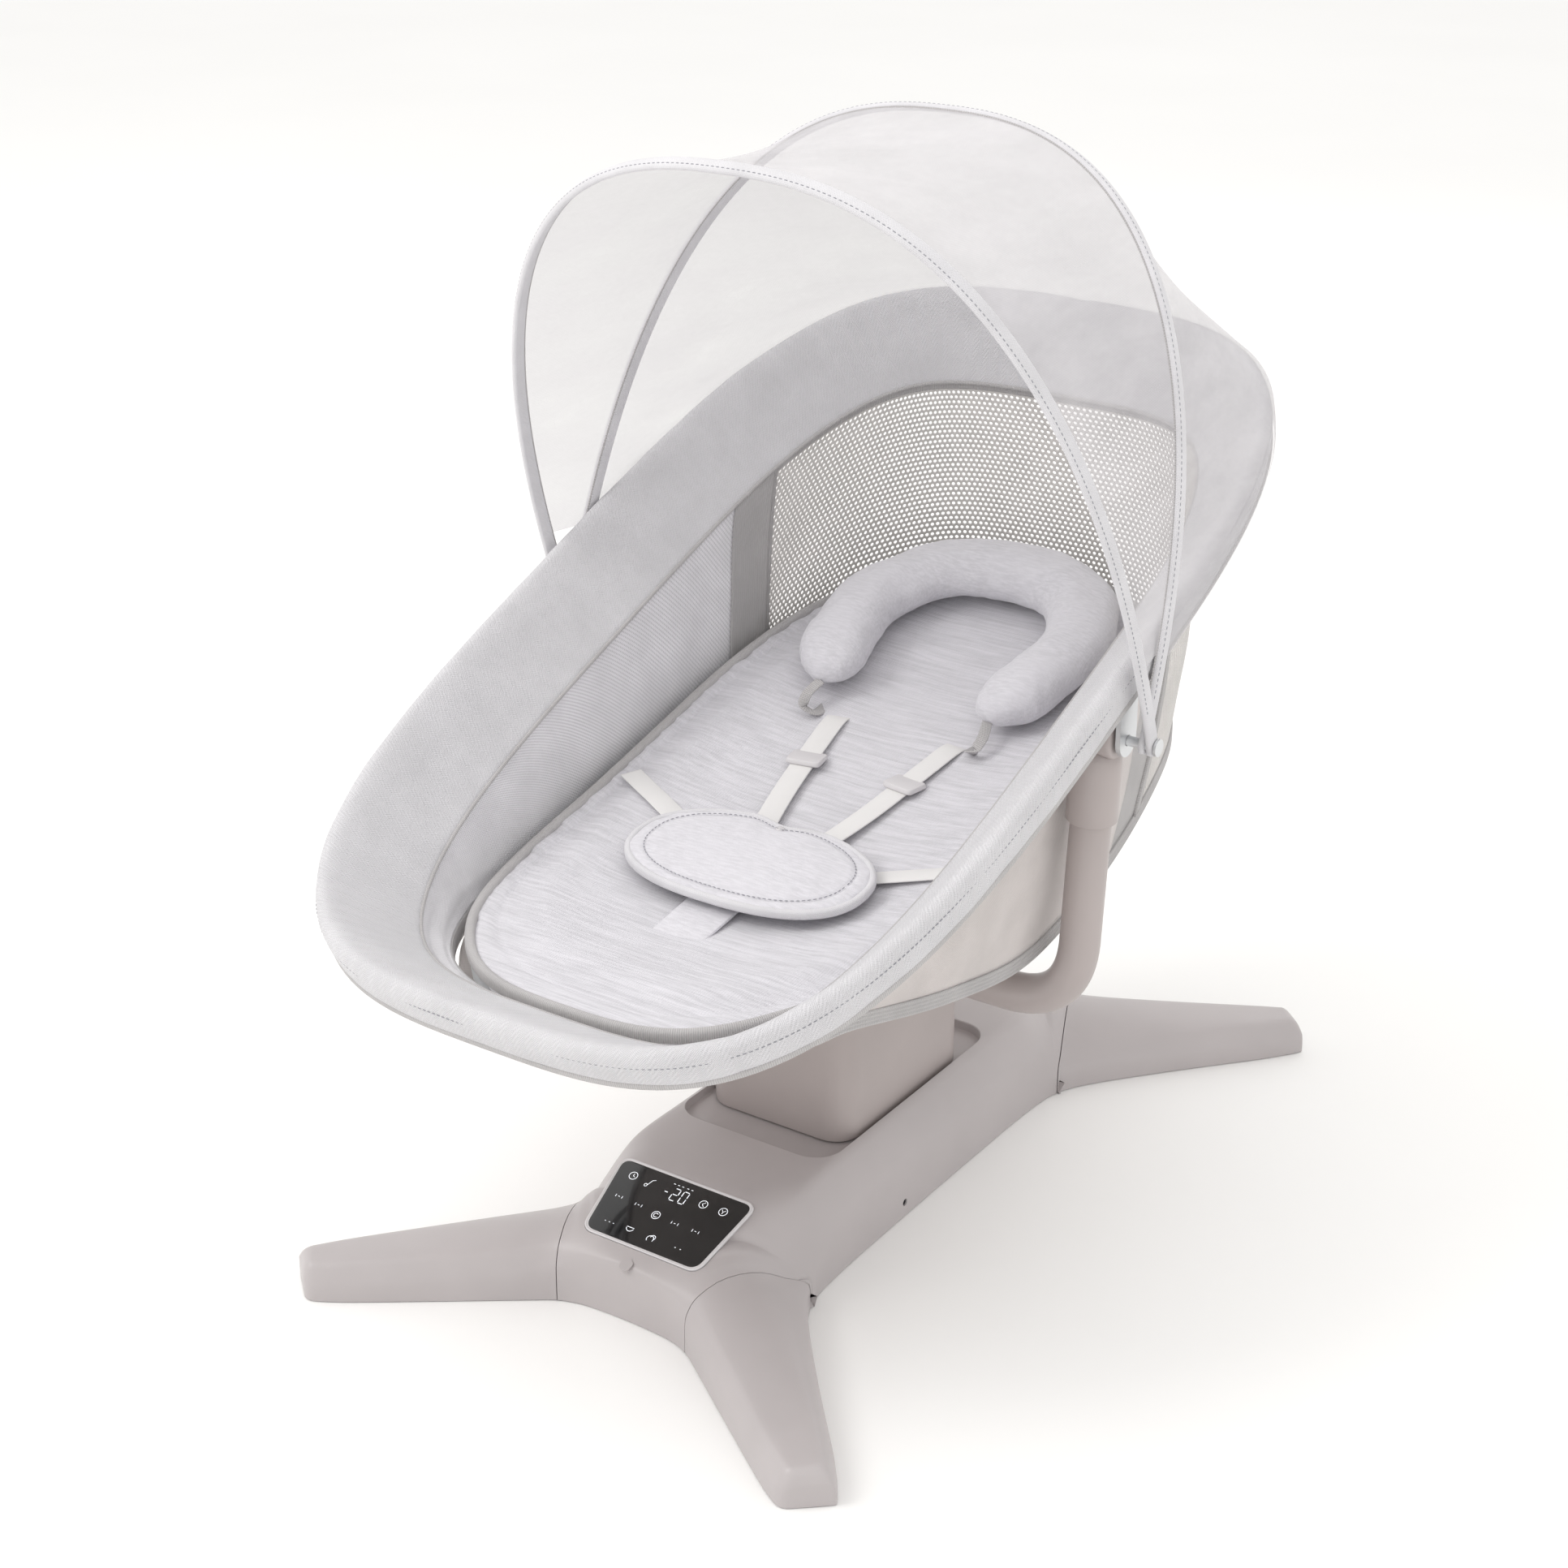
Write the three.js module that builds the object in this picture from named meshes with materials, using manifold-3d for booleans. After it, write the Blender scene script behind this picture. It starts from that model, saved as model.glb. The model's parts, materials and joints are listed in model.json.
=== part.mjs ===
// Electric baby swing: floor base with four splayed legs, a gliding carriage, a U-shaped yoke and a
// reclining bassinet seat with a folding two-bow canopy. Millimetres, +Z up, floor at z = 0.
// The base's length lies along Y, with the control panel and the seat's foot end towards -Y.
import * as THREE from 'three';
import { mergeVertices } from 'three/addons/utils/BufferGeometryUtils.js';
import Module from 'manifold-3d';

const wasm = await Module();
wasm.setup();

// ---- Driving dimensions -------------------------------------------------------------------------
const GAP = 0.4;                      // clearance between pieces that touch
const WALL = 3;                       // thickness of moulded shells
const FLOOR_GAP = 1;                  // the housing's hem stands this far off the floor

const BASE_TOP = 85;                  // flat top of the base
const BASE_HALF_WIDTH = 100.7;
const PANEL_TILT = Math.atan(0.39);   // slope of the control panel, falling to the front
const PANEL_TOP_Y = -209;             // where the flat top turns into the panel slope
const FRONT_Y = -297;                 // front face of the base
const RECESS = { halfX: 74.5, halfY: 131, floor: 77, radius: 24 };
const SLOT = { halfX: 20, halfY: 62 };

const TURRET = { halfX: 70, halfY: 94, bottom: 78.2, top: 236, radius: 24, edge: 14 };
const GLIDE = 30;                     // travel of the carriage, each way

const YOKE = { radius: 16.2, low: 211, halfX: 225.6, bend: 60, lean: 0.041, top: 421 };
const HUB = { z: 450, radius: 17, inner: 219, outer: 250, sleeve: 20.2, sleeveLow: 379, shoulder: 428,
  top: 437 };
const BUTTON = { z: 405, radius: 6, inner: 19.8, outer: 22.6, floor: 17.4 };
const PIN_RADIUS = 4;

const SEAT_TILT = THREE.MathUtils.degToRad(21.5);
const RIM_HEIGHT = 523;               // height of the rim's crest above the hub
const RIM = { halfX: 265, halfS: 451, centreS: -42, power: 3.35 };
const RING = { inset: 12, drop: -23, radius: 6.5 };
const HEM = { halfX: 190, halfY: 366, centreY: -7, power: 3.2 };
const TAPE_START = 33.5;              // polar angles of the side tape, in degrees
const TAPE_END = 42;

const BOW = {
  front: { halfX: 277.5, reach: 448, lean: -19.6 },
  rear: { halfX: 270.5, reach: 443, lean: 19.8 },
};
const BOW_POWER = 2.47;
const BOW_WIDTH = 13;
const BOW_THICK = 6.4;

const PINION = { teeth: 16, module: 1.5, x: 62, low: 50, high: 58 };

// ---- Materials ----------------------------------------------------------------------------------
function finish(colour, roughness, metalness = 0) {
  return new THREE.MeshStandardMaterial({ color: colour, roughness, metalness });
}
const housingPlastic = finish(0xbdb7b8, 0.45);
const armPlastic = finish(0xb3acab, 0.42);
const darkGlass = finish(0x08080a, 0.12);
const paleTrim = finish(0xd4d0d1, 0.4);
const rubber = finish(0x6f6c6d, 0.85);
const steel = finish(0xb4b6b8, 0.3, 0.9);
const brass = finish(0xb79a58, 0.35, 0.8);
const boardGreen = finish(0x2f6b45, 0.6);
const blackPlastic = finish(0x2c2c2e, 0.5);
const greyAcetal = finish(0x9b9c9f, 0.45);
const rimFabric = finish(0xd6d7db, 0.9);
const wallFabric = finish(0xe3dfdc, 0.92);
const meshFabric = finish(0xcfccca, 0.9);
const bindingFabric = finish(0xa9a7a8, 0.9);
const matFabric = finish(0xd3d4da, 0.95);
const webbing = finish(0xbdb9b8, 0.8);
const netFabric = finish(0xeceaec, 0.9);

// ---- Geometry helpers ---------------------------------------------------------------------------
const swing = new THREE.Group();

/** Turns a closed three.js geometry into a manifold solid. */
function solid(geometry) {
  let shape = geometry.index ? geometry.toNonIndexed() : geometry.clone();
  shape.deleteAttribute('normal');
  shape.deleteAttribute('uv');
  shape = mergeVertices(shape, 1e-4);
  const places = shape.getAttribute('position').array;
  const corners = Array.from(shape.index.array);
  const kept = [];
  for (let i = 0; i < corners.length; i += 3) {
    const [a, b, c] = corners.slice(i, i + 3);
    if (a !== b && b !== c && a !== c) kept.push(a, b, c);
  }
  if (signedVolume(places, kept) < 0) {
    for (let i = 0; i < kept.length; i += 3) [kept[i], kept[i + 1]] = [kept[i + 1], kept[i]];
  }
  const body = new wasm.Mesh({
    numProp: 3,
    vertProperties: new Float32Array(places),
    triVerts: new Uint32Array(kept),
  });
  return new wasm.Manifold(body);
}

function signedVolume(places, corners) {
  const [a, b, c] = [new THREE.Vector3(), new THREE.Vector3(), new THREE.Vector3()];
  let total = 0;
  for (let i = 0; i < corners.length; i += 3) {
    a.fromArray(places, corners[i] * 3);
    b.fromArray(places, corners[i + 1] * 3);
    c.fromArray(places, corners[i + 2] * 3);
    total += a.dot(b.cross(c)) / 6;
  }
  return total;
}

/** Adds a solid to the model as one named mesh. */
function add(name, shape, material) {
  const { vertProperties, triVerts } = shape.getMesh();
  const geometry = new THREE.BufferGeometry();
  geometry.setAttribute('position', new THREE.BufferAttribute(new Float32Array(vertProperties), 3));
  geometry.setIndex(Array.from(triVerts));
  geometry.computeVertexNormals();
  const mesh = new THREE.Mesh(geometry, material);
  mesh.name = name;
  swing.add(mesh);
}

function box(x0, x1, y0, y1, z0, z1) {
  const geometry = new THREE.BoxGeometry(x1 - x0, y1 - y0, z1 - z0);
  geometry.translate((x0 + x1) / 2, (y0 + y1) / 2, (z0 + z1) / 2);
  return solid(geometry);
}

/** A cylinder from one end point to the other. */
function rod(from, to, radius, sides = 20, endRadius = radius) {
  const start = new THREE.Vector3(...from);
  const end = new THREE.Vector3(...to);
  const along = end.clone().sub(start);
  const geometry = new THREE.CylinderGeometry(endRadius, radius, along.length(), sides);
  const turn = new THREE.Quaternion().setFromUnitVectors(new THREE.Vector3(0, 1, 0), along.normalize());
  geometry.applyQuaternion(turn);
  geometry.translate(...start.add(end).multiplyScalar(0.5).toArray());
  return solid(geometry);
}

function roundedRectangle(halfX, halfY, radius) {
  const shape = new THREE.Shape();
  shape.moveTo(-halfX + radius, -halfY);
  shape.lineTo(halfX - radius, -halfY);
  shape.absarc(halfX - radius, -halfY + radius, radius, -Math.PI / 2, 0);
  shape.lineTo(halfX, halfY - radius);
  shape.absarc(halfX - radius, halfY - radius, radius, 0, Math.PI / 2);
  shape.lineTo(-halfX + radius, halfY);
  shape.absarc(-halfX + radius, halfY - radius, radius, Math.PI / 2, Math.PI);
  shape.lineTo(-halfX, -halfY + radius);
  shape.absarc(-halfX + radius, -halfY + radius, radius, Math.PI, Math.PI * 1.5);
  return shape;
}

function polygon(points) {
  return new THREE.Shape(points.map(([x, y]) => new THREE.Vector2(x, y)));
}

/** Extrudes a flat shape upwards from z0 to z1. */
function slab(shape, z0, z1, curveSegments = 6) {
  const geometry = new THREE.ExtrudeGeometry(shape, { depth: z1 - z0, bevelEnabled: false, curveSegments });
  geometry.translate(0, 0, z0);
  return solid(geometry);
}

/** Joins rings of points, each ring a closed outline, into one closed skin. */
function loft(rings, closed = false) {
  const around = rings[0].length;
  const places = rings.flat(2);
  const corners = [];
  const last = closed ? rings.length : rings.length - 1;
  for (let i = 0; i < last; i += 1) {
    const next = (i + 1) % rings.length;
    for (let j = 0; j < around; j += 1) {
      const k = (j + 1) % around;
      const [a, b, c, d] = [i * around + j, i * around + k, next * around + j, next * around + k];
      corners.push(a, c, b, b, c, d);
    }
  }
  if (!closed) {
    for (const [row, flip] of [[0, false], [rings.length - 1, true]]) {
      for (const [a, b, c] of capFaces(rings[row])) {
        const triangle = [row * around + a, row * around + b, row * around + c];
        corners.push(...(flip ? triangle.reverse() : triangle));
      }
    }
  }
  const geometry = new THREE.BufferGeometry();
  geometry.setAttribute('position', new THREE.Float32BufferAttribute(places, 3));
  geometry.setIndex(corners);
  return solid(geometry);
}

/** Triangles that close one ring, worked out in the ring's own plane. */
function capFaces(ring) {
  const points = ring.map((p) => new THREE.Vector3(...p));
  const normal = new THREE.Vector3();
  for (let i = 0; i < points.length; i += 1) {
    const a = points[i];
    const b = points[(i + 1) % points.length];
    normal.add(new THREE.Vector3().crossVectors(a, b));
  }
  normal.normalize();
  const side = Math.abs(normal.z) < 0.9 ? new THREE.Vector3(0, 0, 1) : new THREE.Vector3(1, 0, 0);
  const u = new THREE.Vector3().crossVectors(side, normal).normalize();
  const v = new THREE.Vector3().crossVectors(normal, u);
  const flat = points.map((p) => new THREE.Vector2(p.dot(u), p.dot(v)));
  return THREE.ShapeUtils.triangulateShape(flat, []).map((t) => [t[0], t[1], t[2]]);
}

/** Catmull-Rom value of a column of numbers at place t, measured in rows. */
function blendRows(rows, t) {
  const i = Math.min(Math.floor(t), rows.length - 2);
  const f = t - i;
  const at = (k) => rows[Math.max(0, Math.min(rows.length - 1, k))];
  return at(i).map((value, column) => {
    const before = at(i - 1)[column];
    const after = at(i + 1)[column];
    const far = at(i + 2)[column];
    const bend = 2 * value + (after - before) * f + (2 * before - 5 * value + 4 * after - far) * f * f;
    return 0.5 * (bend + (3 * value - before - 3 * after + far) * f * f * f);
  });
}

/** Height read off a line of [place, height] points. */
function profile(points, place) {
  if (place <= points[0][0]) return points[0][1];
  for (let i = 1; i < points.length; i += 1) {
    const [x0, z0] = points[i - 1];
    const [x1, z1] = points[i];
    if (place <= x1) {
      const f = (place - x0) / (x1 - x0);
      return z0 + (z1 - z0) * f * f * (3 - 2 * f);
    }
  }
  return points[points.length - 1][1];
}

const lerp = THREE.MathUtils.lerp;
const mirrorX = (shape) => shape.mirror([1, 0, 0]);
const mirrorY = (shape) => shape.mirror([0, 1, 0]);

// ---- Base ---------------------------------------------------------------------------------------
// The seam plane between the body and a front leg, upright through these two floor points.
const SEAM_INNER = [65.4, -298.7];
const SEAM_OUTER = [103.4, -207.7];
const seamShare = (y) => (y - SEAM_INNER[1]) / (SEAM_OUTER[1] - SEAM_INNER[1]);
const seamPoint = (t) => [lerp(SEAM_INNER[0], SEAM_OUTER[0], t), lerp(SEAM_INNER[1], SEAM_OUTER[1], t)];
const seamX = (y) => seamPoint(seamShare(y))[0];

// Height along the seam, from the leg's front edge to its outer edge.
const SEAM_HEIGHTS = [[-0.08, 28], [0, 46], [0.25, 56], [0.54, 53], [0.71, 46], [0.82, 37], [1, 25]];

function topHeight(y) {
  return BASE_TOP - Math.max(0, Math.abs(y) + PANEL_TOP_Y) * Math.tan(PANEL_TILT);
}

const alongSeam = new THREE.Vector2(...SEAM_OUTER).sub(new THREE.Vector2(...SEAM_INNER)).normalize();
const legDirection = [alongSeam.y, -alongSeam.x];

/** Everything on the legs' side of the four seam planes, which are moved towards the body by a step. */
function beyondSeams(step) {
  const place = (along, out) => {
    const [x, y] = seamPoint(along);
    return [x + legDirection[0] * (out - step), y + legDirection[1] * (out - step)];
  };
  const wedge = slab(polygon([place(-0.6, 0), place(1.6, 0), place(1.6, 150), place(-0.6, 150)]), -20, 120);
  return wedge.add(mirrorX(wedge)).add(mirrorY(wedge)).add(mirrorX(mirrorY(wedge)));
}

/** Half of the body's cross-section at a distance from its middle, shrunk by the wall for the inside. */
function bodySection(distance, inset) {
  const y = -distance;
  const beyond = distance > -SEAM_OUTER[1];
  const waist = [[150, BASE_HALF_WIDTH], [-SEAM_OUTER[1], SEAM_OUTER[0]]];
  const side = beyond ? seamX(y) : profile(waist, distance);
  const hem = [[145, 53], [-SEAM_OUTER[1], 25]];
  const edge = beyond ? profile(SEAM_HEIGHTS, seamShare(y)) : profile(hem, distance);
  const top = topHeight(y);
  const shoulder = Math.min(profile([[150, 78], [207, 76], [290, 60]], distance), side - 3);
  const half = [[0, top], [shoulder * 0.6, top], [shoulder, top]];
  half.push([lerp(shoulder, side, 0.5), lerp(top, edge, 0.46)], [side, Math.min(edge, top)]);
  const shrunk = half.map(([x, z]) => [x > 0 ? x - inset : 0, z - inset]);
  return [...shrunk, [side - inset, 0]];
}

/** The whole body between its four seams, or its hollow when inset is the wall's thickness. */
function bodyShape(inset) {
  const distances = [0, 60, 110, 145, 165, 182, 196, 207.7, 218, 228, 238, 250, 262, 274, 285, 294];
  const rows = [];
  const floor = inset > 0 ? -5 : FLOOR_GAP;
  for (const sign of [-1, 1]) {
    const ordered = sign < 0 ? [...distances].reverse() : distances.slice(1);
    for (const distance of ordered) {
      const limit = Math.min(distance, -FRONT_Y - 3 - inset * 1.6);
      const half = bodySection(limit, inset);
      const front = (x, z) => frontBulge(limit, x) + (z < 30 && distance > 290 ? 2.5 : 0);
      const right = half.map(([x, z]) => [x, sign * (limit + front(x, z)), z > 0 ? z : floor]);
      const left = right.slice(1).reverse().map(([x, y, z]) => [-x, y, z]);
      rows.push([...left, ...right]);
    }
  }
  return loft(rows).subtract(beyondSeams(inset));
}

/** The front face bows forward towards the seams. */
function frontBulge(distance, x) {
  return 9 * (Math.abs(x) / 62) ** 4 * Math.max(0, (distance - 215) / 80) ** 2;
}

// Stations of a leg from its seam to its tip. Columns: inner floor x, y; outer floor x, y; height and
// inset of the inner ridge; crown; height and inset of the outer ridge; top of the upright hem.
const LEG_STATIONS = [
  [62.4, -306.0, 103.4, -207.7, 46, 8, 13, 37, 19, 25],
  [78.5, -316.5, 118.5, -223.0, 44, 8, 10, 36, 17, 23],
  [112.0, -340.5, 146.0, -256.5, 40, 8, 6, 34, 14, 20],
  [161.0, -375.5, 190.0, -308.5, 35, 8, 2, 32, 11, 17],
  [205.0, -406.5, 238.0, -364.0, 31.5, 8, 0, 31, 10, 15],
  [217.0, -413.0, 251.0, -380.0, 31, 8, 0, 31, 10, 15],
];

function legRing([ix, iy, ox, oy, zi, ri, crown, zo, ro, hem], inset, floor) {
  const width = Math.hypot(ox - ix, oy - iy);
  const at = (d, z) => [ix + ((ox - ix) * d) / width, iy + ((oy - iy) * d) / width, z];
  const [a, b] = [ri + inset, width - ro - inset];
  const ring = [at(inset, floor), at(inset, hem - inset * 0.6), at(a, zi - inset)];
  for (const f of [0.25, 0.5, 0.75]) {
    ring.push(at(lerp(a, b, f), lerp(zi, zo, f) - inset + crown * (1 - (2 * f - 1) ** 4)));
  }
  ring.push(at(b, zo - inset), at(width - inset, hem - inset * 0.6), at(width - inset, floor));
  return ring;
}

/** The front right leg, outer skin or hollow. */
function legShape(inset) {
  const floor = inset > 0 ? -5 : FLOOR_GAP;
  const rings = [];
  const steps = 10;
  for (let i = 0; i <= steps; i += 1) {
    rings.push(legRing(blendRows(LEG_STATIONS, (i * (LEG_STATIONS.length - 1)) / steps), inset, floor));
  }
  if (inset > 0) return loft(rings);
  const tip = [[223, -416.5, 254, -385], [231, -416, 257.5, -391.5]];
  rings.push(legRing([...tip[0], 29.5, 9, 0, 29.5, 9, 15], 0, floor));
  rings.push(legRing([...tip[1], 16, 5, 0.5, 16, 5, 14], 0, floor));
  return loft(rings);
}

function base() {
  const hollow = bodyShape(WALL).intersect(box(-200, 200, -330, 330, -5, RECESS.floor - WALL));
  const slot = slab(roundedRectangle(SLOT.halfX, SLOT.halfY, 6), 60, 90);
  const recess = slab(roundedRectangle(RECESS.halfX, RECESS.halfY, RECESS.radius), RECESS.floor, 100);
  const jackHole = rod([85, JACK.y, JACK.z], [110, JACK.y, JACK.z], JACK.radius + GAP, 16);
  const housing = bodyShape(0).subtract(hollow).subtract(recess).subtract(slot).subtract(panelPocket())
    .subtract(jackHole);
  add('base_housing', housing, housingPlastic);
  add('base_cover', slab(polygon(coverOutline()), 0, 3), housingPlastic);

  const legSkin = legShape(0).translate([legDirection[0] * GAP, legDirection[1] * GAP, 0]);
  const legHollow = legShape(WALL).intersect(box(100, 236, -500, -200, -6, 60));
  const leg = legSkin.subtract(legHollow);
  const pad = footPad();
  add('leg_front_right', leg, housingPlastic);
  add('leg_front_left', mirrorX(leg), housingPlastic);
  add('leg_rear_right', mirrorY(leg), housingPlastic);
  add('leg_rear_left', mirrorX(mirrorY(leg)), housingPlastic);
  add('foot_front_right', pad, rubber);
  add('foot_front_left', mirrorX(pad), rubber);
  add('foot_rear_right', mirrorY(pad), rubber);
  add('foot_rear_left', mirrorX(mirrorY(pad)), rubber);
}

function coverOutline() {
  const quarter = [[96.5, 0], [96.5, -150], [98.5, -200], [62, -290]];
  const flip = (points, sx, sy) => points.map(([x, y]) => [x * sx, y * sy]);
  return [
    ...flip(quarter, 1, 1), ...flip([...quarter].reverse(), -1, 1),
    ...flip(quarter.slice(1), -1, -1), ...flip([...quarter].reverse().slice(0, 3), 1, -1),
  ];
}

/** Rubber foot inside the leg's hollow, standing just proud of its hem. */
function footPad() {
  const outline = polygon([[176, -360], [197, -335], [232, -376], [214, -395]]);
  return slab(outline, 0, 12);
}

// ---- Control panel ------------------------------------------------------------------------------
const PANEL = { top: 63.5, bottom: 54, length: 71, centreY: -246 };

function panelOutline(grow, radius) {
  const corners = [
    [-PANEL.bottom - grow, -PANEL.length / 2 - grow], [PANEL.bottom + grow, -PANEL.length / 2 - grow],
    [PANEL.top + grow, PANEL.length / 2 + grow], [-PANEL.top - grow, PANEL.length / 2 + grow],
  ].map(([x, y]) => new THREE.Vector2(x, y));
  const shape = new THREE.Shape();
  corners.forEach((corner, i) => {
    const before = corners[(i + 3) % 4];
    const after = corners[(i + 1) % 4];
    const enter = corner.clone().lerp(before, radius / corner.distanceTo(before));
    const leave = corner.clone().lerp(after, radius / corner.distanceTo(after));
    if (i === 0) shape.moveTo(enter.x, enter.y);
    else shape.lineTo(enter.x, enter.y);
    shape.quadraticCurveTo(corner.x, corner.y, leave.x, leave.y);
  });
  return shape;
}

/** A slab in the panel's tilted plane, between two depths below its face. */
function panelSlab(shape, low, high) {
  const settings = { depth: high - low, bevelEnabled: false, curveSegments: 5 };
  const geometry = new THREE.ExtrudeGeometry(shape, settings);
  geometry.translate(0, 0, low);
  geometry.rotateX(PANEL_TILT);
  geometry.translate(0, PANEL.centreY, topHeight(PANEL.centreY));
  return solid(geometry);
}

function panelPocket() {
  return panelSlab(panelOutline(2.6, 11), -2, 20).add(panelSlab(panelOutline(-6, 8), -12, 1));
}

function panel() {
  const outer = panelSlab(panelOutline(2.6 - GAP, 11), -2 + GAP, 0.6);
  add('panel_bezel', outer.subtract(panelSlab(panelOutline(0, 9), -5, 5)), paleTrim);
  add('panel_glass', panelSlab(panelOutline(-GAP, 9), -2 + GAP, 0.2), darkGlass);
  add('control_board', box(-48, 48, -262, -196, 26, 27.6), boardGreen);
}

// ---- Glide drive inside the base ----------------------------------------------------------------
const ROD_X = 30;                     // guide rods: place, radius and half-length
const ROD_Z = 54;
const ROD_RADIUS = 4;
const ROD_REACH = 103;
const RAIL_SUPPORT = { halfX: 40, inner: 92, outer: 104, low: 4, high: 64 };
const MOTOR = { low: 6, canTop: 34, top: 44, canRadius: 16.5, halfX: 17, halfY: 19, shaftRadius: 3 };
const JACK = { y: -49, z: 14, outer: 99.5, radius: 4, bore: 2.2 };

function pinionOutline() {
  const pitch = (PINION.teeth * PINION.module) / 2;
  const points = [];
  for (let i = 0; i < PINION.teeth; i += 1) {
    const middle = Math.PI + ((i + 0.5) * 2 * Math.PI) / PINION.teeth;
    for (const [radius, offset] of [[pitch - 1.9, -0.115], [pitch + 1.2, -0.04], [pitch + 1.2, 0.04],
      [pitch - 1.9, 0.115]]) {
      points.push([radius * Math.cos(middle + offset), radius * Math.sin(middle + offset)]);
    }
  }
  return polygon(points);
}

function rackOutline() {
  const pitchLine = PINION.x - (PINION.teeth * PINION.module) / 2;
  const step = Math.PI * PINION.module;
  const points = [[pitchLine - 4.6, -40]];
  for (let i = -8; i <= 8; i += 1) {
    const y = i * step;
    points.push([pitchLine - 1.8, y - 1.5], [pitchLine + 1.1, y - 0.6], [pitchLine + 1.1, y + 0.6]);
    points.push([pitchLine - 1.8, y + 1.5]);
  }
  points.push([pitchLine - 4.6, 40]);
  return polygon(points);
}

function drive() {
  const { canTop, top, halfX, halfY, shaftRadius } = MOTOR;
  const can = rod([PINION.x, 0, MOTOR.low], [PINION.x, 0, canTop], MOTOR.canRadius, 24);
  const gearbox = box(PINION.x - halfX, PINION.x + halfX, -halfY, halfY, canTop, top);
  const shaft = rod([PINION.x, 0, canTop + 6], [PINION.x, 0, PINION.high + 2], shaftRadius, 12);
  add('drive_motor', can.add(gearbox).add(shaft), steel);
  const bore = rod([0, 0, PINION.low - 10], [0, 0, PINION.high + 10], shaftRadius + GAP, 12);
  const pinion = slab(pinionOutline(), PINION.low, PINION.high).subtract(bore);
  add('drive_pinion', pinion.translate([PINION.x, 0, 0]), brass);

  for (const [name, x] of [['guide_rod_left', -ROD_X], ['guide_rod_right', ROD_X]]) {
    add(name, rod([x, -ROD_REACH, ROD_Z], [x, ROD_REACH, ROD_Z], ROD_RADIUS, 14), steel);
  }
  for (const [name, sign] of [['rail_support_front', -1], ['rail_support_rear', 1]]) {
    const { halfX, inner, outer, low, high } = RAIL_SUPPORT;
    const [near, far] = [sign * inner, sign * outer].sort((a, b) => a - b);
    add(name, box(-halfX, halfX, near, far, low, high).subtract(rodHoles()), blackPlastic);
  }
  const { y, z, outer, radius, bore: jackBore } = JACK;
  const socket = box(outer - 27.5, outer - 11.5, y - 6, y + 6, z - 6, z + 6);
  const jack = rod([outer - 13.5, y, z], [outer, y, z], radius, 16).add(socket);
  add('power_jack', jack.subtract(rod([outer - 9.5, y, z], [outer + 10, y, z], jackBore, 12)), blackPlastic);
}

/** Both holes that the guide rods run through, with their clearance. */
function rodHoles() {
  const holes = [-ROD_X, ROD_X].map((x) => rod([x, -ROD_REACH - 7, ROD_Z], [x, ROD_REACH + 7, ROD_Z],
    ROD_RADIUS + GAP, 14));
  return holes[0].add(holes[1]);
}

// ---- Carriage, turret and yoke ------------------------------------------------------------------
const BLOCK = { halfX: 44, halfY: 40, low: 45, high: 64, neckX: 17, neckY: 30 };
const PLATE = { halfX: 60, halfY: 84, low: 80, high: 85 };
const POST = { half: 22, top: 175 };
const CLAMP = { halfX: 46, halfY: 26, top: 232 };

function carriage() {
  const { halfX, halfY, low, high, neckX, neckY } = BLOCK;
  const neck = box(-neckX, neckX, -neckY, neckY, high - 1, PLATE.low - GAP);
  const block = box(-halfX, halfX, -halfY, halfY, low, high).add(neck).subtract(rodHoles());
  add('carriage_block', block, greyAcetal);
  add('drive_rack', slab(rackOutline(), PINION.low, PINION.high), greyAcetal);
  const plate = box(-PLATE.halfX, PLATE.halfX, -PLATE.halfY, PLATE.halfY, PLATE.low, PLATE.high);
  add('carriage_plate', plate, steel);
  const post = box(-POST.half, POST.half, -POST.half, POST.half, PLATE.high + GAP, POST.top);
  add('carriage_post', post, steel);

  const tubeHole = rod([-60, 0, YOKE.low], [60, 0, YOKE.low], YOKE.radius + GAP, 24);
  const grip = (from, to) => box(-CLAMP.halfX, CLAMP.halfX, -CLAMP.halfY, CLAMP.halfY, from, to);
  add('yoke_saddle', grip(POST.top + GAP, YOKE.low - GAP).subtract(tubeHole), blackPlastic);
  add('yoke_clamp', grip(YOKE.low + GAP, CLAMP.top).subtract(tubeHole), blackPlastic);
  add('turret_cover', turret(), housingPlastic);
}

/** The motor tower's cover, open below, with a rounded top edge and a hole on each side for the yoke. */
function turret() {
  const skin = (inset, bottom) => {
    const rings = [];
    const edge = TURRET.edge;
    const levels = [[bottom, 0], [TURRET.top - inset - edge, 0]];
    for (const turn of [30, 60, 90]) {
      const angle = THREE.MathUtils.degToRad(turn);
      levels.push([TURRET.top - inset - edge + edge * Math.sin(angle), edge * (1 - Math.cos(angle))]);
    }
    for (const [z, back] of levels) {
      const [halfX, halfY] = [TURRET.halfX - inset - back, TURRET.halfY - inset - back];
      const outline = roundedRectangle(halfX, halfY, Math.max(TURRET.radius - inset - back, 4));
      rings.push(outline.getPoints(4).slice(0, -1).map((p) => [p.x, p.y, z]));
    }
    return loft(rings);
  };
  const holes = rod([-90, 0, YOKE.low], [90, 0, YOKE.low], YOKE.radius + 1, 24);
  return skin(0, TURRET.bottom).subtract(skin(WALL, TURRET.bottom - 5)).subtract(holes);
}

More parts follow.
